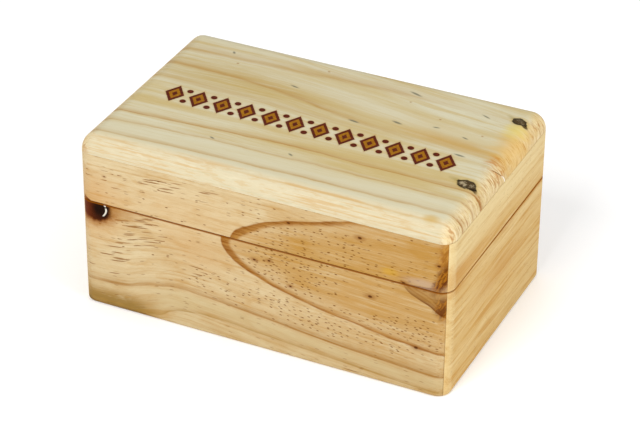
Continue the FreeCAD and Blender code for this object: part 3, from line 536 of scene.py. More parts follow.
    # two dead knots near the right-hand end: lens-shaped, dark round the rim, cracked
    kn = g.noise(g.vec(X * 0.26, Y * 0.42, Z * 0.3), 3, 0.6)
    kc = g.noise(g.vec(X * 0.34 + 7.0, Y * 0.95, Z * 0.3), 2, 0.55)
    hk = None
    for c, ru, rv, an, pale in (((90.6, 44.4), 4.4, 3.2, -0.42, 0.22), ((90.2, -22.6), 5.8, 3.9, -0.30, 0.85)):
        a, b = X - c[0], Y - c[1]
        u = (a * math.cos(an) + b * math.sin(an)) / ru
        v = (b * math.cos(an) - a * math.sin(an)) / rv
        q = g.abs(v) * 0.45 + u * u * 0.45 + g.sqrt(u * u + v * v) * 0.55 + (kn - 0.5) * 0.75 + (kc - 0.5) * 0.45
        h = g.smooth(q, 1.75, 0.95)
        col = g.mix(h * 0.45, col, T(196, 166, 96))
        smudge, _ = spot(g, u, v, (-1.15, 0.05), 0.60, 0.34, (kn - 0.5) * 0.8, 0.8)
        col = g.mix(smudge * 0.45, col, T(158, 140, 78))
        tip, _ = spot(g, u, v, (0.98, -0.22), 0.46, 0.34, (kn - 0.5) * 1.2, 0.35)
        col = g.mix(tip * 0.90 * g.smooth(Z, 94.0, 95.6), col, T(66, 46, 20))
        k = g.smooth(q, 1.13, 0.90)
        inner = g.mix(g.smooth(kn, 0.42, 0.60) * pale, T(70, 52, 26), T(192, 176, 142))
        inner = g.mix(g.smooth(g.abs(kc - 0.5), 0.055, 0.02) * 0.85, inner, lin(40, 30, 18))
        inner = g.mix(g.smooth(q, 0.56, 0.86) * g.smooth(kc, 0.36, 0.62, 1.0, 0.70), inner, lin(22, 14, 5))
        col = g.mix(k * 0.96, col, inner)
        hk = k if hk is None else g.max(hk, k)
    # a split in the end grain, its lip catching the light
    split = Y - g.curve(Z, [(84.0, 3.4), (87.5, 2.4), (90.0, 1.2), (92.5, -1.0), (96.5, -4.6)])
    open_ = g.smooth(g.abs(split + wf * 0.3), 0.55, 0.22) * g.smooth(X, 93.0, 95.5) * g.smooth(Z, 95.8, 95.0)
    col = g.mix(open_ * g.smooth(Z, 91.0, 92.0) * 0.85, col, T(112, 70, 26))
    col = g.mix(open_ * g.smooth(Z, 91.6, 90.6) * 0.90, col, T(255, 250, 238))
    swirl, _ = spot(g, X, Y, (95.5, 0.5), 5.0, 7.5, wf * 0.9, 0.7)
    col = g.mix(swirl * g.smooth(strokes, 0.44, 0.56) * 0.60 * g.smooth(Z, 89.0, 92.0), col, T(190, 120, 38))
    # burnt-in border: twelve lozenges with pairs of dots between them
    slope = (X + 1.4) * -0.0205
    bv = Y + 6.9 - slope
    bu = X + 1.4 + bv * 0.10
    per = 13.6
    cell = g.m("PINGPONG", bu + per * 20, per / 2)             # 0 at a dot, per/2 at a lozenge's middle
    lu = per / 2 - cell
    jit = wf * 0.02 + (g.noise(g.vec(X * 0.9, Y * 0.9, 0.0), 2, 0.5) - 0.5) * 0.10
    loz = lu / 5.4 + g.abs(bv) / 8.3 + jit
    dq = g.sqrt(cell * cell + (g.abs(bv) - 5.2) * (g.abs(bv) - 5.2)) / 1.7 + jit
    in_loz, in_dot = g.smooth(g.abs(bu), 82.0, 81.5), g.smooth(g.abs(bu), 76.5, 76.0)
    in_loz, in_dot = in_loz * upside, in_dot * upside
    shape = g.max(g.smooth(loz, 1.05, 0.96) * in_loz, g.smooth(dq, 1.12, 0.92) * in_dot)
    hollow = g.smooth(loz, 0.70, 0.60) * g.smooth(loz, 0.24, 0.34) * in_loz
    burnt = g.smooth(g.noise(g.vec(X * 0.55, Y * 2.2, 0.0), 3, 0.6), 0.35, 0.7)
    dark = g.mix(burnt, lin(62, 3, 0), lin(100, 27, 0))
    gold = g.mix(burnt, T(146, 90, 10), T(180, 130, 28))
    glow = g.max(g.smooth(loz, 1.30, 0.98) * in_loz, g.smooth(dq, 1.7, 1.0) * in_dot)
    col = g.mix(glow * 0.30, col, T(194, 142, 58))
    col = g.mix(shape * 0.98, col, dark)
    col = g.mix(hollow * 0.92, col, gold)
    height = f2 * 0.35 + f3 * 0.3 - shape * 1.6 - hk * kn * 1.4 + endm * (pores * 0.2 + fine * 0.35)
    return lacquer(g, col, g.smooth(f2, 0.3, 0.7, 0.40, 0.52), height, 0.10)


def pine_plain(name, along, seed, pale, tan, bold=0.5, seam=False):
    """A pine board with straight to gently arched grain along X or Y."""
    g = G(name)
    T = lambda a, b, c: seen(a, b, c, 1.2)
    X, Y, Z = g.coords()
    u, a, b = (X, Y, Z) if along == "X" else (Y, X, Z)
    w = (g.noise(g.vec(u * 0.014 + seed, a * 0.03, b * 0.04), 3, 0.5) - 0.5) * 2.0
    wf = (g.noise(g.vec(u * 0.07 + seed, a * 0.2, b * 0.25), 3, 0.6) - 0.5) * 2.0
    ay, bz = a - 18.0 + u * 0.10, b - 44.0 + w * 4.0
    rad = g.sqrt(ay * ay + bz * bz) + wf * 0.8
    ring = g.m("FRACT", rad / 9.5 + seed)
    lw = g.smooth(ring, 0.45, 0.93) * g.smooth(ring, 1.0, 0.95)
    f1 = g.noise(g.vec(u * 0.014 + seed, a * 0.35, b * 0.35), 3, 0.55)
    f2 = g.noise(g.vec(u * 0.034 + seed, a * 0.95, b * 0.95), 4, 0.65)
    f3 = g.noise(g.vec(u * 0.14 + seed, a * 3.4, b * 3.4), 3, 0.65)
    col = g.mix(g.smooth(f1, 0.36, 0.68), T(*pale), T(*tan))
    col = g.mix(lw * bold, col, T(176, 120, 54))
    col = g.mix(g.smooth(f2, 0.50, 0.70) * 0.46, col, T(196, 148, 76))
    col = g.mix(g.smooth(f2, 0.48, 0.30) * 0.30, col, T(234, 214, 170))
    col = g.mix(g.smooth(f3, 0.5, 0.7) * 0.28, col, T(172, 122, 60))
    d = dashes(g, u, b + a * 0.93, 9.0, 1.5, 0.86, 0.19)
    col = g.mix(d * 0.75, col, T(118, 70, 24))
    kw = (g.noise(g.vec(X * 0.25, Y * 0.25, Z * 0.25), 3, 0.6) - 0.5) * 0.8
    for c, r in (((-34.0 + seed * 9.0, 30.0 + seed), 3.4), ((52.0 - seed * 3.0, 70.0), 1.6)):
        h, _ = spot(g, u, b, c, r * 2.2, r * 1.4, kw, 0.6)
        k, q = spot(g, u, b, c, r, r * 0.85, kw, 0.15)
        col = g.mix(h * 0.4, col, T(170, 116, 60))
        col = g.mix(k * 0.9, col, g.mix(g.smooth(g.sin(q * 16.0), -0.3, 1.0), T(80, 40, 12), T(130, 74, 26)))
    if seam:
        # shut line painted dark: partly the edge's own darkening, partly painted shade in the gap
        col = g.mix(g.smooth(g.abs(Z - 60.0), 0.95, 0.45) * g.smooth(skin(g, X, Y), 1.6, 0.7) * 0.8, col, T(120, 72, 20))
    return lacquer(g, col, g.smooth(f2, 0.3, 0.7, 0.42, 0.54), f2 * 0.4 + f3 * 0.35 - d * 0.5 - lw * 0.1, 0.09)


shade(pine_front(), N["base_front_board"], N["lid_front_board"])
shade(pine_end("pine_right", 1.0, 1.0), N["base_right_board"], N["lid_right_board"])
shade(pine_end("pine_left", 4.0, -1.0), N["base_left_board"], N["lid_left_board"])
shade(pine_top(), N["lid_top_board"])
shade(pine_plain("pine_back", "X", 3.0, (226, 200, 152), (206, 166, 104), 0.5, True), N["base_back_board"], N["lid_back_board"])
shade(pine_plain("pine_bottom", "X", 6.0, (222, 200, 158), (206, 172, 118), 0.4), N["bottom_board"])


# ------------------------------------------------------------------ turned wood, paint, metal
def beech(name, tone, deep, seed):
    """Turned beech: fine straight grain along Z with short ray flecks."""
    g = G(name)
    X, Y, Z = g.coords()
    f1 = g.noise(g.vec(X * 0.5 + seed, Y * 0.5, Z * 0.06), 3, 0.55)
    f2 = g.noise(g.vec(X * 3.0 + seed, Y * 3.0, Z * 0.35), 3, 0.6)
    d, r, s = g.cells(g.vec(X * 1.3 + Y * 0.7 + seed, Z * 0.34))
    fleck = g.smooth(d, 0.22, 0.10) * g.smooth(r, 0.35, 0.40)
    col = g.mix(g.smooth(f1, 0.35, 0.70), tone, deep)
    col = g.mix(g.smooth(f2, 0.48, 0.78) * 0.30, col, lin(150, 104, 62))
    col = g.mix(fleck * 0.40, col, lin(136, 88, 50))
    g.bump(f2 * 0.6 - fleck * 0.4, 0.05)
    return g.finish(Base_Color=col, Roughness=g.smooth(f2, 0.3, 0.7, 0.46, 0.60), Specular_IOR_Level=0.4)


def gloss_paint(name, tone, deep, rough):
    g = G(name)
    X, Y, Z = g.coords()
    a = g.noise(g.vec(X * 0.6, Y * 0.6, Z * 0.6), 3, 0.55)
    b = g.noise(g.vec(X * 4.0, Y * 4.0, Z * 4.0), 2, 0.6)
    col = g.mix(g.smooth(a, 0.35, 0.70), tone, deep)
    g.bump(a * 0.7 + b * 0.3, 0.03)
    return g.finish(Base_Color=col, Roughness=g.smooth(b, 0.3, 0.7, rough, rough + 0.10), Coat_Weight=0.6, Coat_Roughness=0.08)


def painted_head():
    """The turned head in satin paint, with a plain friendly face."""
    g = G("painted_head")
    X, Y, Z = g.coords()
    f = g.noise(g.vec(X * 2.2, Y * 2.2, Z * 0.28), 3, 0.6)
    m = g.noise(g.vec(X * 0.12, Y * 0.12, Z * 0.12), 3, 0.55)
    br = g.noise(g.vec(X * 0.9, Y * 0.9, Z * 5.0), 2, 0.6)
    jit = (g.noise(g.vec(X * 1.1, Y * 1.1, Z * 1.1), 2, 0.5) - 0.5)
    front = g.smooth(Y, -2.0, -6.0)
    col = g.mix(g.smooth(m, 0.35, 0.70), lin(226, 178, 138), lin(212, 158, 116))
    col = g.mix(g.smooth(f, 0.5, 0.8) * 0.22, col, lin(196, 140, 98))
    ax = g.abs(X)
    cheek, _ = spot(g, ax, Z, (11.4, 56.6), 4.3, 3.8, jit * 0.25, 0.65)
    col = g.mix(cheek * 0.55 * front, col, lin(206, 84, 74))
    white, q = spot(g, ax, Z, (7.6, 64.0), 3.5, 3.3, jit * 0.06, 0.05)
    col = g.mix(white * front, col, g.mix(g.smooth(f, 0.4, 0.8), lin(238, 232, 220), lin(226, 218, 202)))
    lid = g.smooth(g.abs(q - 1.06), 0.12, 0.05) * g.smooth(Z, 64.6, 65.6) * front
    col = g.mix(lid * 0.9, col, lin(84, 46, 28))
    curve = Z - 51.6 - X * X * 0.040
    thick = g.smooth(ax, 8.4, 3.0, 0.30, 0.62)
    smile = g.smooth(g.abs(curve + jit * 0.2), thick + 0.14, thick - 0.14) * g.smooth(ax, 8.2, 7.4) * front
    col = g.mix(smile * 0.95, col, lin(148, 34, 32))
    corner, _ = spot(g, ax, Z, (8.1, 54.3), 0.75, 0.75, jit * 0.2, 0.25)
    col = g.mix(corner * 0.9 * front, col, lin(148, 34, 32))
    g.bump(f * 0.35 + br * 0.35 + (smile + white) * 0.25, 0.06)
    return g.finish(Base_Color=col, Roughness=g.smooth(br, 0.3, 0.7, 0.34, 0.46), Coat_Weight=0.3, Coat_Roughness=0.2, Specular_IOR_Level=0.45)


def metal(name, base, tarnish, dark, rough, seed, which="Object", scale=1000.0):
    """Worn metal: broad tarnish, fine specks and drawn lines."""
    g = G(name)
    X, Y, Z = g.coords(which, scale)
    a = g.noise(g.vec(X * 0.30 + seed, Y * 0.30, Z * 0.30), 3, 0.6)
    b = g.noise(g.vec(X * 2.6 + seed, Y * 2.6, Z * 2.6), 3, 0.65)
    s = g.noise(g.vec(X * 0.5 + seed, Y * 9.0, Z * 9.0), 2, 0.6)
    col = g.mix(g.smooth(a, 0.42, 0.72) * 0.60, base, tarnish)
    col = g.mix(g.smooth(b, 0.56, 0.80) * 0.45, col, dark)
    g.bump(s * 0.6 + b * 0.4, 0.02)
    return g.finish(Base_Color=col, Metallic=1.0, Roughness=g.smooth(a * 0.5 + b * 0.5, 0.35, 0.65, rough - 0.08, rough + 0.14))


m_brass = metal("brass", (0.72, 0.49, 0.19, 1), (0.56, 0.36, 0.13, 1), (0.30, 0.19, 0.08, 1), 0.30, 2.0)
m_steel = metal("steel", (0.62, 0.62, 0.63, 1), (0.50, 0.50, 0.50, 1), (0.28, 0.27, 0.26, 1), 0.32, 5.0)
m_nickel = metal("nickel", (0.74, 0.72, 0.69, 1), (0.64, 0.62, 0.58, 1), (0.42, 0.40, 0.37, 1), 0.20, 8.0)
m_wire = metal("spring_wire", (0.58, 0.58, 0.59, 1), (0.46, 0.45, 0.45, 1), (0.24, 0.23, 0.22, 1), 0.30, 3.0, "UV", 100.0)
m_beech = beech("bare_beech", lin(214, 176, 134), lin(196, 152, 108), 1.0)
for k in ("left_hinge_base_leaf", "right_hinge_base_leaf", "left_hinge_lid_leaf", "right_hinge_lid_leaf", "hinge_base_screws", "hinge_lid_screws", "left_bell", "right_bell", "hem_tacks"):
    shade(m_brass, N[k])
for k in ("left_hinge_pin", "right_hinge_pin", "bottom_screws", "block_screws", "lower_staples", "upper_staples"):
    shade(m_steel, N[k])
shade(m_nickel, N["base_magnets"], N["lid_magnets"])
shade(m_beech, N["spring_block"], N["spring_cap"], N["neck_dowel"])
shade(beech("hand_beech", lin(222, 180, 142), lin(206, 158, 116), 7.0), N["left_hand"], N["right_hand"])
shade(painted_head(), N["head_ball"])
shade(gloss_paint("red_paint", lin(176, 26, 26), lin(146, 16, 18), 0.22), N["nose_bead"])
shade(gloss_paint("black_paint", lin(34, 28, 26), lin(18, 15, 14), 0.16), N["eye_beads"])


# ------------------------------------------------------------------ mesh tools (millimetres)
def build(name, verts, faces, uv=None):
    me = bpy.data.meshes.new(name)
    me.from_pydata((np.asarray(verts, float) / 1000.0).tolist(), [], faces)
    if uv is not None:
        me.uv_layers.new(name="UVMap").data.foreach_set("uv", np.asarray(uv, np.float32).ravel())
    me.polygons.foreach_set("use_smooth", np.ones(len(me.polygons), bool))
    me.update()
    o = bpy.data.objects.new(name, me)
    scene.collection.objects.link(o)
    return o


def grid(m, n, v, closed):
    """Quads and corner UVs of m rows by n columns; the columns run all the way round."""
    rows = np.arange(m if closed else m - 1)
    i, j = np.meshgrid(rows, np.arange(n), indexing="ij")
    i2, j2 = (i + 1) % m, (j + 1) % n
    quads = np.stack([i * n + j, i * n + j2, i2 * n + j2, i2 * n + j], -1).reshape(-1, 4)
    a, b = j / n, (j + 1) / n
    uv = np.stack([np.stack([a, v[i]], -1), np.stack([b, v[i]], -1), np.stack([b, v[i2]], -1), np.stack([a, v[i2]], -1)], 2)
    return quads.tolist(), uv.reshape(-1, 2).tolist()


def shell(name, out, inn, v):
    """A closed thin shell between two matching grids of points."""
    P, vv = np.concatenate([out, inn[::-1]]), np.concatenate([v, v[::-1]])
    quads, uv = grid(P.shape[0], P.shape[1], vv, True)
    return build(name, P.reshape(-1, 3), quads, uv)


def capped(name, P, v):
    """A closed tube with a middle point in each end."""
    m, n = P.shape[:2]
    quads, uv = grid(m, n, v, False)
    verts = np.concatenate([P.reshape(-1, 3), [P[0].mean(0)], [P[-1].mean(0)]])
    for j in range(n):
        k = (j + 1) % n
        quads.append([m * n, k, j])
        quads.append([m * n + 1, (m - 1) * n + j, (m - 1) * n + k])
        uv += [[j / n, v[0]], [(j + 1) / n, v[0]], [j / n, v[0]]]
        uv += [[j / n, v[-1]], [j / n, v[-1]], [(j + 1) / n, v[-1]]]
    return build(name, verts, quads, uv)


def normals_of(P):
    """Unit normals of a grid whose columns run all the way round."""
    du = np.roll(P, -1, 1) - np.roll(P, 1, 1)
    dv = np.gradient(P, axis=0)
    n = np.cross(du, dv)
    return n / np.linalg.norm(n, axis=2, keepdims=True)


def planar_sweep(path, radius, turn):
    """Tube points along a path in the XZ plane; radius is rows by columns."""
    d = np.gradient(path, axis=0)
    d /= np.linalg.norm(d, axis=1, keepdims=True)
    bi = np.array([0.0, 1.0, 0.0])
    no = np.cross(np.broadcast_to(bi, d.shape), d)
    return path[:, None] + radius[..., None] * (np.cos(turn)[None, :, None] * no[:, None] + np.sin(turn)[None, :, None] * bi)


def baked(o, name):
    """A new object with o's modifiers applied; o goes."""
    dg = bpy.context.evaluated_depsgraph_get()
    me = bpy.data.meshes.new_from_object(o.evaluated_get(dg), depsgraph=dg)
    bpy.data.objects.remove(o)
    me.name = name
    p = bpy.data.objects.new(name, me)
    scene.collection.objects.link(p)
    return p


# ------------------------------------------------------------------ cloth materials
def weave(g, a, b):
    """Height of a plain weave with one thread per unit of a and of b."""
    over = g.smooth(g.sin(a * math.pi) * g.sin(b * math.pi), -0.25, 0.25)
    return g.abs(g.sin(a * math.pi)) * over + g.abs(g.sin(b * math.pi)) * (1.0 - over)


def cotton(g, U, V, nu, nv, col, soft=0.55):
    """Finishes a woven cotton: thread relief, slubs and a slight sheen."""
    h = weave(g, U * nu, V * nv)
    slub = g.noise(g.vec(U * nu * 0.06, V * nv * 0.9, 0.0), 2, 0.6)
    worn = g.noise(g.vec(U * 9.0, V * 9.0, 2.0), 3, 0.6)
    # painted shade: darker where the weave sinks between the threads
    col = g.mix(g.smooth(h, 0.75, 0.15) * 0.34, col, lin(30, 24, 24))
    col = g.mix(g.smooth(slub, 0.55, 0.78) * 0.16, col, lin(240, 232, 216))
    col = g.mix(g.smooth(worn, 0.55, 0.8) * 0.18, col, lin(206, 192, 170))
    g.bump(h * 0.8 + slub * 0.3, 0.14)
    return g.finish(Base_Color=col, Roughness=0.82, Specular_IOR_Level=0.22, Sheen_Weight=0.18, Sheen_Roughness=0.5)


CRIMSON, CREAM, BLUE, MUSTARD = lin(150, 26, 34), lin(228, 212, 176), lin(30, 84, 112), lin(206, 148, 48)


def harlequin():
    """Lozenges in four colours, with a thin cream line between them."""
    g = G("sleeve_cotton")
    U, V, _ = g.coords("UV", 1.0)
    fray = (g.noise(g.vec(U * 90.0, V * 60.0, 0.0), 2, 0.6) - 0.5) * 0.05
    a, b = U * 8.0 + V * 3.2 + fray, U * 8.0 - V * 3.2 + fray
    pa, pb = g.m("FLOORED_MODULO", a, 2.0), g.m("FLOORED_MODULO", b, 2.0)
    sa, sb = g.smooth(pa, 0.995, 1.005), g.smooth(pb, 0.995, 1.005)
    col = g.mix(sb, g.mix(sa, CRIMSON, MUSTARD), g.mix(sa, BLUE, lin(196, 168, 122)))
    ea, eb = g.m("PINGPONG", a, 0.5), g.m("PINGPONG", b, 0.5)
    col = g.mix(g.smooth(g.min(ea, eb), 0.05, 0.03), col, CREAM)
    hem = g.max(g.smooth(V, 0.055, 0.045), g.smooth(V, 1.345, 1.355))
    col = g.mix(hem, col, g.mix(g.smooth(g.sin(U * 300.0), -0.2, 0.2), CRIMSON, lin(128, 20, 28)))
    return cotton(g, U, V, 300.0, 170.0, col)


def ruffled():
    g = G("ruff_cotton")
    U, V, _ = g.coords("UV", 1.0)
    tint = g.noise(g.vec(U * 40.0, V * 3.0, 0.0), 3, 0.55)
    col = g.mix(g.smooth(tint, 0.35, 0.7), lin(236, 224, 196), lin(222, 206, 172))
    col = g.mix(g.smooth(V, 0.915, 0.925), col, CRIMSON)
    stitch = g.smooth(g.abs(V - 0.90), 0.010, 0.006) * g.smooth(g.sin(U * 1400.0), -0.1, 0.2)
    col = g.mix(stitch * 0.8, col, lin(128, 20, 28))
    return cotton(g, U, V, 620.0, 46.0, col)


def arm_cloth():
    g = G("arm_cotton")
    U, V, _ = g.coords("UV", 1.0)
    tint = g.noise(g.vec(U * 5.0, V * 14.0, 0.0), 3, 0.55)
    col = g.mix(g.smooth(tint, 0.35, 0.7), BLUE, lin(22, 66, 92))
    stripe = g.smooth(g.abs(g.m("FLOORED_MODULO", V * 100.0, 4.4) - 2.2), 0.42, 0.30)
    col = g.mix(stripe * 0.85, col, CREAM)
    cuff = g.smooth(V, 0.264, 0.268)
    col = g.mix(cuff, col, g.mix(g.smooth(tint, 0.35, 0.7), lin(234, 220, 188), lin(218, 200, 164)))
    return cotton(g, U, V, 56.0, 200.0, col)


def felt(name, left, right=None):
    """Pressed wool: matted fibres, slight pilling, fuzzy rim light. Two colours meet at X = 0."""
    g = G(name)
    X, Y, Z = g.coords()
    f1 = g.noise(g.vec(X * 1.6, Y * 1.6, Z * 1.6), 4, 0.65, 0.8)
    f2 = g.noise(g.vec(X * 6.0, Y * 6.0, Z * 6.0), 3, 0.7, 1.5)
    m = g.noise(g.vec(X * 0.10, Y * 0.10, Z * 0.10), 3, 0.5)
    col = g.mix(0.0, left, left)
    if right is not None:
        col = g.mix(g.smooth(X + (f2 - 0.5) * 0.7, -0.08, 0.08), left, right)
    col = g.mix(g.smooth(f1, 0.50, 0.80) * 0.34, col, lin(22, 14, 16))
    col = g.mix(g.smooth(f2, 0.56, 0.80) * 0.26, col, lin(226, 206, 188))
    col = g.mix(g.smooth(m, 0.45, 0.75) * 0.16, col, lin(190, 150, 130))
    g.bump(f1 * 0.6 + f2 * 0.5, 0.30)
    return g.finish(Base_Color=col, Roughness=0.95, Specular_IOR_Level=0.12, Sheen_Weight=0.35, Sheen_Roughness=0.45)


# ------------------------------------------------------------------ sleeve and spring, built at rest; on the toy they stretch as the figure rises
RISE0, RISE1 = 12.4, 29.0


def place(q):
    """The share of the stretch at which a point sits so that it has moved by the share q at full height."""
    return 0.5 - np.sin(np.arcsin(np.clip(1 - 2 * np.asarray(q, float), -1, 1)) / 3)


def make_sleeve():
    n, K, per = 176, 17, 9
    th = np.arange(n) / n * 2 * np.pi
    gather = 0.26 * np.sin(24 * th + 0.9 * np.sin(3 * th)) + 0.16 * np.sin(37 * th + 1.0)
    rows = [(z, (z - 6.8) / 100.0, r + 0.0 * th) for z, r in ((6.8, 31.15), (7.6, 31.3), (9.3, 31.32), (10.8, 31.3), (11.7, 31.25))]
    for a in np.linspace(0, 1, K * per + 1):
        z = RISE0 + (RISE1 - RISE0) * float(place(a))
        ro = np.interp(z, [12.4, 16, 20, 24, 26.5, 28, 33], [33.3, 31.5, 28.5, 25.5, 23.6, 23.0, 22.9])
        dp = np.interp(z, [12.4, 14, 18, 23, 24.5, 27, 30, 33], [2.0, 3.4, 4.0, 4.0, 3.6, 2.5, 2.3, 2.1])
        ph = K * a + 0.5 + (0.05 * np.sin(3 * th + 1.0) + 0.035 * np.sin(7 * th)) * math.sin(math.pi * a)
        puff = np.abs(np.cos(np.pi * ph)) ** 0.72
        rows.append((z, 0.05 + 1.26 * a, ro - dp * (1 - puff) + gather * (0.35 + 0.65 * (1 - puff))))
    # the neck is made as a band of its own; on the toy it leans with the figure
    neck = rows[-1:] + [
        (z, 1.31 + (z - RISE1) * 0.0075, r + k * gather)
        for z, r, k in ((29.3, 21.5, 0.8), (29.9, 22.2, 0.6), (30.8, 22.6, 0.45), (32.2, 22.7, 0.4), (33.7, 22.65, 0.3), (34.5, 22.75, 0.3), (35.3, 22.8, 0.3), (36.0, 22.6, 0.3))
    ]

    def tube(name, rows):
        R = np.array([r for _, _, r in rows])
        zz = np.repeat(np.array([z for z, _, _ in rows])[:, None], n, 1)
        ring = lambda r: np.stack([r * np.cos(th), r * np.sin(th), zz], -1)
        return shell(name, ring(R), ring(R - 0.5), np.array([v for _, v, _ in rows]))

    return tube("sleeve", rows), tube("sleeve_neck", neck)


def make_spring():
    """The coil, and the two end turns that the cap's staples hold, as two meshes; on the toy the coil stretches and
    the end turns lean with the figure.
    """
    R, wire, turns, z0, pitch, part = 18.0, 0.7, 8, 12.75, 2.6875, 6
    s = np.linspace(0, turns, turns * 60 + 1)
    k = np.clip((s - 1) / (part - 1), 0, 1)
    lo, hi = z0 + pitch, z0 + pitch * part
    even = k - 0.35 * np.sin(2 * np.pi * k) / (2 * np.pi)
    z = np.where((s < 1) | (s > part), z0 + pitch * s, lo + (hi - lo) * place(even))
    a = 2 * np.pi * s
    path = np.stack([R * np.cos(a), R * np.sin(a), z], -1)
    d = np.gradient(path, axis=0)
    d /= np.linalg.norm(d, axis=1, keepdims=True)
    no = np.stack([np.cos(a), np.sin(a), 0 * a], -1)
    bi = np.cross(d, no)
    t = np.arange(12) / 12 * 2 * np.pi
    P = path[:, None] + wire * (np.cos(t)[None, :, None] * no[:, None] + np.sin(t)[None, :, None] * bi[:, None])
    cut = part * 60
    return capped("spring", P[: cut + 1], s[: cut + 1] / turns), capped("spring_end", P[cut:], s[cut:] / turns), lo, hi


sleeve, sleeve_neck = make_sleeve()
shade(harlequin(), sleeve, sleeve_neck)
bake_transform(sleeve)
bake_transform(sleeve_neck)
for o in (sleeve, sleeve_neck):
    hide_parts("body_sleeve")

coil, coil_end, coil_lo, coil_hi = make_spring()
shade(m_wire, coil, coil_end)
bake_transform(coil)
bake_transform(coil_end)
for o in (coil, coil_end):
    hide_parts("jack_spring")


# ------------------------------------------------------------------ ruff
def make_ruff():
    folds, n = 22, 22 * 18
    th = np.arange(n) / n * 2 * np.pi
    r = np.concatenate([np.linspace(10.7, 29.6, 26), [30.0, 30.3, 30.5]])
    mean = np.interp(r, [10.7, 13, 16, 20, 31], [40.65, 41.2, 42.1, 43.15, 43.25])
    amp = np.interp(r, [10.7, 13, 16, 20, 26, 31], [0.08, 0.5, 1.1, 1.95, 2.5, 2.55])
    lean = 0.16 * (r[:, None] - 10.7) / 20.0 * np.sin(5 * th + 0.7)[None]
    ph = folds * th[None] + lean * 3.0 + 0.5 * np.sin(2 * th + 1.1)[None]
    wave = np.sin(ph) + 0.14 * np.sin(2 * ph + 0.8) - 0.07 * np.sin(3 * ph)
    vary = 1.0 + 0.05 * np.sin(3 * th + 0.4)[None] + 0.04 * np.sin(8 * th + 2.0)[None]
    z = mean[:, None] + amp[:, None] * wave * vary * 0.92
    # folds swing sideways as well as up and down, so that they stand like a figure of eight
    swing = 0.030 * (amp[:, None] / 2.5) * np.sin(2 * ph)
    rr = r[:, None] + 0.25 * np.cos(ph) * (amp[:, None] / 2.5)
    P = np.stack([rr * np.cos(th[None] + swing), rr * np.sin(th[None] + swing), z], -1)
    nm = normals_of(P)                       # points down on rows that run outwards
    return shell("ruff", P + nm * 0.22, P - nm * 0.22, (r - 10.7) / 19.8)


ruff = make_ruff()
shade(ruffled(), ruff)
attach(ruff, "jack")
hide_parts("collar_ruff")


# ------------------------------------------------------------------ arms
def make_arm(name, sx):
    n = 40
    turn = np.arange(n) / n * 2 * np.pi
    prof = [(-0.25, 0.5), (-0.2, 1.4), (0.0, 2.4), (0.5, 3.2), (1.2, 3.8), (2.2, 4.15)]
    prof += [(s, float(np.interp(s, [2.2, 6, 12, 20, 24.5, 26.0], [4.15, 4.3, 4.2, 4.25, 4.05, 3.75]))) for s in np.arange(2.6, 25.9, 0.4)]
    prof += [(26.2, 3.62), (26.6, 3.5), (27.0, 3.62), (27.4, 3.95), (28.2, 4.15), (29.2, 4.25), (30.2, 4.35), (31.2, 4.5), (32.2, 4.75), (33.0, 5.0), (33.4, 5.02), (33.5, 4.85), (33.3, 4.65), (32.6, 4.4), (31.9, 3.9), (31.5, 2.6), (31.4, 1.0)]
    s, r = np.array([p[0] for p in prof]), np.array([p[1] for p in prof])
    bend, ang = 22.0, math.radians(28)
    la = bend * ang
    f = np.clip((s - 10.6) / la, 0, 1) * ang
    end = np.maximum(s - 10.6 - la, 0)
    x = 24.4 + np.minimum(s, 10.6) + bend * np.sin(f) + end * math.cos(ang)
    z = 35.3 - bend * (1 - np.cos(f)) - end * math.sin(ang)
    mid = np.clip(s, -0.3, 31.4)             # frames follow the arm, not the turned-in rim
    dirx, dirz = np.cos(np.clip((s - 10.6) / la, 0, 1) * ang), -np.sin(np.clip((s - 10.6) / la, 0, 1) * ang)
    d = np.stack([sx * dirx, 0 * s, dirz], -1)
    bi = np.broadcast_to(np.array([0.0, 1.0, 0.0]), d.shape)
    no = np.cross(bi, d)
    down = -no[:, None, 2] * np.cos(turn)[None]            # 1 on the underside
    on = np.interp(s, [1.0, 4.0, 9.0, 16.0, 23.0, 26.0, 27.5], [0.2, 0.55, 0.9, 1.0, 0.7, 0.5, 0.0])[:, None]
    S_, T_ = s[:, None], turn[None]
    wr = 0.13 * np.sin(2 * np.pi * S_ / 2.9 + 1.4 * np.cos(T_ + 0.6) + 0.6 * np.sin(2 * T_)) * on
    wr += 0.09 * np.sin(5 * T_ + S_ * 0.5) * on
    for c, w in ((12.2, 0.55), (14.8, 0.6), (17.4, 0.55), (20.4, 0.5)):
        wr -= 0.42 * np.exp(-(((S_ - c - 0.5 * np.cos(T_)) / w) ** 2)) * np.clip(0.35 + down, 0, 1)
    wr += 0.16 * np.sin(9 * T_) * np.exp(-(((S_ - 26.6) / 1.1) ** 2))
    wr += 0.14 * np.sin(7 * T_ + 0.5) * np.exp(-(((S_ - 0.9) / 1.2) ** 2))
    R = np.minimum(r[:, None] + wr, np.where(s[:, None] < 27, 4.45, 5.1))
    c = np.stack([sx * x, 0 * s, z], -1)
    P = c[:, None] + R[..., None] * (np.cos(turn)[None, :, None] * no[:, None] + np.sin(turn)[None, :, None] * bi[:, None])
    run = np.concatenate([[0], np.cumsum(np.hypot(np.diff(s), np.diff(r)))])
    v = np.where(np.arange(len(s)) < 6, s, 2.2 + run - run[5]) / 100.0
    if sx < 0:
        P = P[:, ::-1]
    return capped(name, P, v)


m_arm = arm_cloth()
for side, sx in (("left", -1), ("right", 1)):
    arm = make_arm(side + "_sleeve_arm", sx)
    shade(m_arm, arm)
    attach(arm, "jack")
    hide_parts(side + "_arm")


# ------------------------------------------------------------------ felt cap, its seam and its band
HEAD = np.array([0.0, 0.0, 61.0])
TILT = math.atan2(11.0, 50.0)
UPN = np.array([0.0, math.sin(TILT), math.cos(TILT)])          # across the brim
FRONT = np.array([0.0, -math.cos(TILT), math.sin(TILT)])
RIGHT = np.array([1.0, 0.0, 0.0])


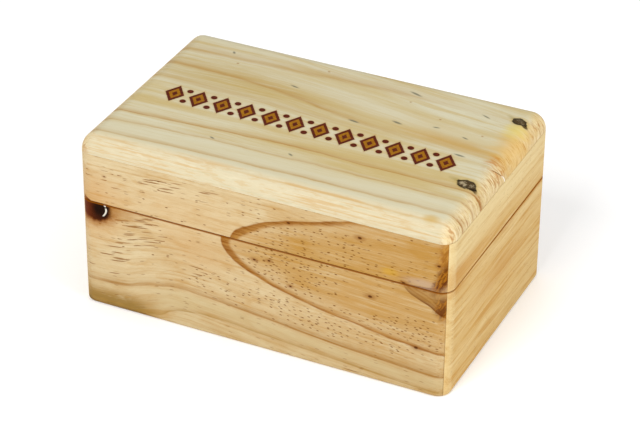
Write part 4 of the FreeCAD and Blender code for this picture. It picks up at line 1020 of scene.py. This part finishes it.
def horn_points(sx):
    key = np.array([(2.0, 73.0, 9.2), (8.0, 74.2, 9.0), (24.0, 73.6, 7.8), (36.5, 69.2, 5.9), (45.0, 61.8, 4.0), (49.2, 54.6, 2.6)])
    pts = []
    for i in range(1, len(key) - 1 + 1):
        p0, p1, p2, p3 = (key[min(max(j, 0), len(key) - 1)] for j in (i - 2, i - 1, i, i + 1))
        for t in np.linspace(0, 1, 14, endpoint=i == len(key) - 1):
            pts.append(0.5 * (2 * p1 + (p2 - p0) * t + (2 * p0 - 5 * p1 + 4 * p2 - p3) * t * t + (3 * p1 - p0 - 3 * p2 + p3) * t ** 3))
    k = np.array(pts)
    turn = np.arange(48) / 48 * 2 * np.pi
    s = np.linspace(0, 1, len(k))[:, None]
    rad = np.repeat(k[:, 2:3], 48, 1)
    side = -np.cos(turn)[None] if sx > 0 else np.cos(turn)[None]
    for c, w, dpt in ((0.50, 0.016, 0.10), (0.57, 0.015, 0.12), (0.64, 0.015, 0.13), (0.71, 0.016, 0.12), (0.79, 0.016, 0.10)):
        rad = rad * (1 - dpt * np.exp(-(((s - c - 0.012 * np.sin(2 * turn)[None]) / w) ** 2)) * np.clip(0.4 - side * 0.9, 0, 1))
    rad = rad * (1 + 0.02 * np.sin(3 * turn + 5 * s) + 0.015 * np.sin(5 * turn - 9 * s))
    path = np.stack([sx * k[:, 0], 0 * k[:, 0], k[:, 1]], -1)
    P = planar_sweep(path, rad, turn)
    return P


def make_cap():
    parts = [capped("horn", horn_points(sx), np.zeros(200)) for sx in (1, -1)]
    bm = bmesh.new()
    bmesh.ops.create_uvsphere(bm, u_segments=96, v_segments=64, radius=0.025)
    bmesh.ops.translate(bm, verts=bm.verts, vec=HEAD / 1000.0)
    for p in parts:
        bm.from_mesh(p.data)
        bpy.data.objects.remove(p)
    bmesh.ops.recalc_face_normals(bm, faces=bm.faces)
    me = bpy.data.meshes.new("cap_raw")
    bm.to_mesh(me)
    bm.free()
    raw = bpy.data.objects.new("cap_raw", me)
    scene.collection.objects.link(raw)
    md = raw.modifiers.new("one", "REMESH")
    md.mode, md.voxel_size, md.use_smooth_shade = "VOXEL", 0.0007, True
    md = raw.modifiers.new("soft", "SMOOTH")
    md.factor, md.iterations = 0.5, 10
    cap = baked(raw, "felt_cap")
    co = np.empty(len(cap.data.vertices) * 3, np.float32)
    cap.data.vertices.foreach_get("co", co)
    co = co.reshape(-1, 3).astype(float) * 1000.0
    nm = np.empty(len(co) * 3, np.float32)
    cap.data.vertices.foreach_get("normal", nm)
    nm = nm.reshape(-1, 3).astype(float)
    lump = np.array([noise.noise(Vector(p * 0.11)) * 0.35 + noise.noise(Vector(p * 0.35)) * 0.12 for p in co])
    groove = 0.55 * np.exp(-((co[:, 0] / 0.75) ** 2))
    co += nm * (lump - 0.25 - groove)[:, None]
    cap.data.vertices.foreach_set("co", (co / 1000.0).astype(np.float32).ravel())
    cap.data.update()
    # hollow for the head, and the slanting brim
    bm = bmesh.new()
    bmesh.ops.create_uvsphere(bm, u_segments=128, v_segments=80, radius=0.02272)
    bmesh.ops.translate(bm, verts=bm.verts, vec=HEAD / 1000.0)
    me = bpy.data.meshes.new("hollow")
    bm.to_mesh(me)
    bm.clear()
    bmesh.ops.create_cube(bm, size=1.0)
    bmesh.ops.scale(bm, verts=bm.verts, vec=(0.064, 0.10, 0.06))
    bmesh.ops.translate(bm, verts=bm.verts, vec=(0, 0, -0.03))
    bmesh.ops.transform(bm, verts=bm.verts, matrix=Matrix.Translation((0, 0, 0.0635)) @ Matrix.Rotation(-TILT, 4, "X"))
    me2 = bpy.data.meshes.new("under")
    bm.to_mesh(me2)
    bm.free()
    cutters = []
    for m in (me, me2):
        c = bpy.data.objects.new(m.name, m)
        scene.collection.objects.link(c)
        md = cap.modifiers.new(m.name, "BOOLEAN")
        md.operation, md.solver, md.object = "DIFFERENCE", "EXACT", c
        cutters.append(c)
    bpy.context.view_layer.update()
    cap = baked(cap, "felt_cap")
    for c in cutters:
        bpy.data.objects.remove(c)
    cap.data.polygons.foreach_set("use_smooth", np.ones(len(cap.data.polygons), bool))
    cap.data.set_sharp_from_angle(angle=math.radians(50))
    return cap


def make_band():
    n, m = 192, 18
    f = np.arange(n) / n * 2 * np.pi
    a = np.arange(m) / m * 2 * np.pi
    sq = lambda t: np.sign(t) * np.abs(t) ** 0.7
    h = 3.44 - 1.62 * sq(np.cos(a))
    R = 25.72 + 0.66 * sq(np.sin(a))
    roll = 0.10 * np.sin(11 * f + 0.4) + 0.08 * np.sin(17 * f + 2.0)
    hh = h[:, None] + 0.10 * np.sin(7 * f + 1.0)[None]
    RR = R[:, None] + roll[None] * (np.sin(a)[:, None] > 0)
    rho = np.sqrt(RR ** 2 - hh ** 2)
    P = HEAD + hh[..., None] * UPN + rho[..., None] * (np.cos(f)[None, :, None] * FRONT + np.sin(f)[None, :, None] * RIGHT)
    P = P[:, ::-1] if np.dot(np.cross(FRONT, RIGHT), UPN) < 0 else P
    quads, uv = grid(m, n, np.arange(m) / m, True)
    return build("cap_band_felt", P.reshape(-1, 3), quads, uv)


def make_stitches():
    """Thread that crosses the seam from the front of the band, over the crown, to the back."""
    verts, faces = [], []
    t = np.arange(8) / 8 * 2 * np.pi
    for i, b in enumerate(np.radians(np.linspace(29, 172, 34))):
        o, along = np.array([0.0, -math.cos(b), math.sin(b)]), np.array([0.0, math.sin(b), math.cos(b)])
        x = np.linspace(-1.35, 1.35, 7)
        lift = 24.75 - 0.55 * (np.abs(x) / 1.35) ** 3
        path = HEAD + lift[:, None] * o + x[:, None] * RIGHT + (x[:, None] * 0.28) * along
        r = 0.24 * np.array([0.35, 0.9, 1, 1, 1, 0.9, 0.35])
        base = len(verts)
        for p, q in zip(path, r):
            verts += [p + q * (math.cos(u) * o + math.sin(u) * along) for u in t]
        for k in range(6):
            for j in range(8):
                j2 = (j + 1) % 8
                faces.append([base + k * 8 + j, base + k * 8 + j2, base + k * 8 + 8 + j2, base + k * 8 + 8 + j])
        faces.append([base + j for j in range(7, -1, -1)])
        faces.append([base + 48 + j for j in range(8)])
    o = build("cap_stitches", verts, faces)
    bm = bmesh.new()
    bm.from_mesh(o.data)
    bmesh.ops.recalc_face_normals(bm, faces=bm.faces)
    bm.to_mesh(o.data)
    bm.free()
    return o


cap = make_cap()
shade(felt("cap_felt", CRIMSON, BLUE), cap)
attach(cap, "jack")
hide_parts("jester_cap")
band = make_band()
m_band = felt("band_felt", lin(226, 210, 174))
shade(m_band, band)
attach(band, "jack")
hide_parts("cap_band")
thread = make_stitches()
shade(m_band, thread)
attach(thread, "jack")

# ------------------------------------------------------------------ camera, floor, light
cam = bpy.data.objects.new("camera", bpy.data.cameras.new("camera"))
scene.collection.objects.link(cam)
right = Vector((0.9037463977748832, 0.4279803803640254, 0.00867424534972358))
up = Vector((-0.23251246883573817, 0.47377032965972027, 0.8493995682657427))
fwd = Vector((-0.3594167502285236, 0.7696586702932569, -0.5276790036542889))
rot = Matrix((right, up, -fwd)).transposed().to_4x4()
cam.matrix_world = Matrix.Translation(Vector((461.836, -983.062, 717.765)) / 1000.0) @ rot
cam.data.sensor_width = 36.0
cam.data.lens = 36.0 * 2526.40 / 640.0
cam.data.clip_start, cam.data.clip_end = 0.05, 50.0
scene.camera = cam

floor = bpy.data.objects.new("floor", bpy.data.meshes.new("floor"))
bm = bmesh.new()
bmesh.ops.create_grid(bm, x_segments=1, y_segments=1, size=4.0)
bm.to_mesh(floor.data)
bm.free()
floor.location.z = -0.0002
scene.collection.objects.link(floor)
g = G("floor")
g.finish(Base_Color=(0.925, 0.93, 0.94, 1.0), Roughness=0.85, Specular_IOR_Level=0.2, Emission_Color=(1.0, 1.0, 1.0, 1.0), Emission_Strength=0.13)
floor.data.materials.append(g.mat)

world = bpy.data.worlds.new("studio")
scene.world = world
world.use_nodes = True
world.node_tree.nodes["Background"].inputs[0].default_value = (1.0, 0.995, 0.985, 1.0)
world.node_tree.nodes["Background"].inputs[1].default_value = 0.45


def softbox(name, loc, target, size, power, colour=(1, 1, 1)):
    d = bpy.data.lights.new(name, "AREA")
    d.shape, d.size, d.size_y, d.energy, d.color = "RECTANGLE", size[0], size[1], power, colour
    o = bpy.data.objects.new(name, d)
    scene.collection.objects.link(o)
    o.location = loc
    o.rotation_mode = "QUATERNION"
    o.rotation_quaternion = (Vector(target) - Vector(loc)).to_track_quat("-Z", "Y")
    return o


softbox("key", (-0.15, -1.10, 1.05), (0, 0, 0.05), (0.7, 0.7), 15.0, (1.0, 0.99, 0.97))
softbox("side", (1.35, -0.25, 0.75), (0, 0, 0.05), (0.8, 0.8), 10.0, (1.0, 0.99, 0.97))
softbox("over", (0.1, 0.55, 1.35), (0, 0, 0.05), (1.2, 0.9), 4.0)

scene.view_settings.view_transform = "Standard"
scene.view_settings.look = "None"
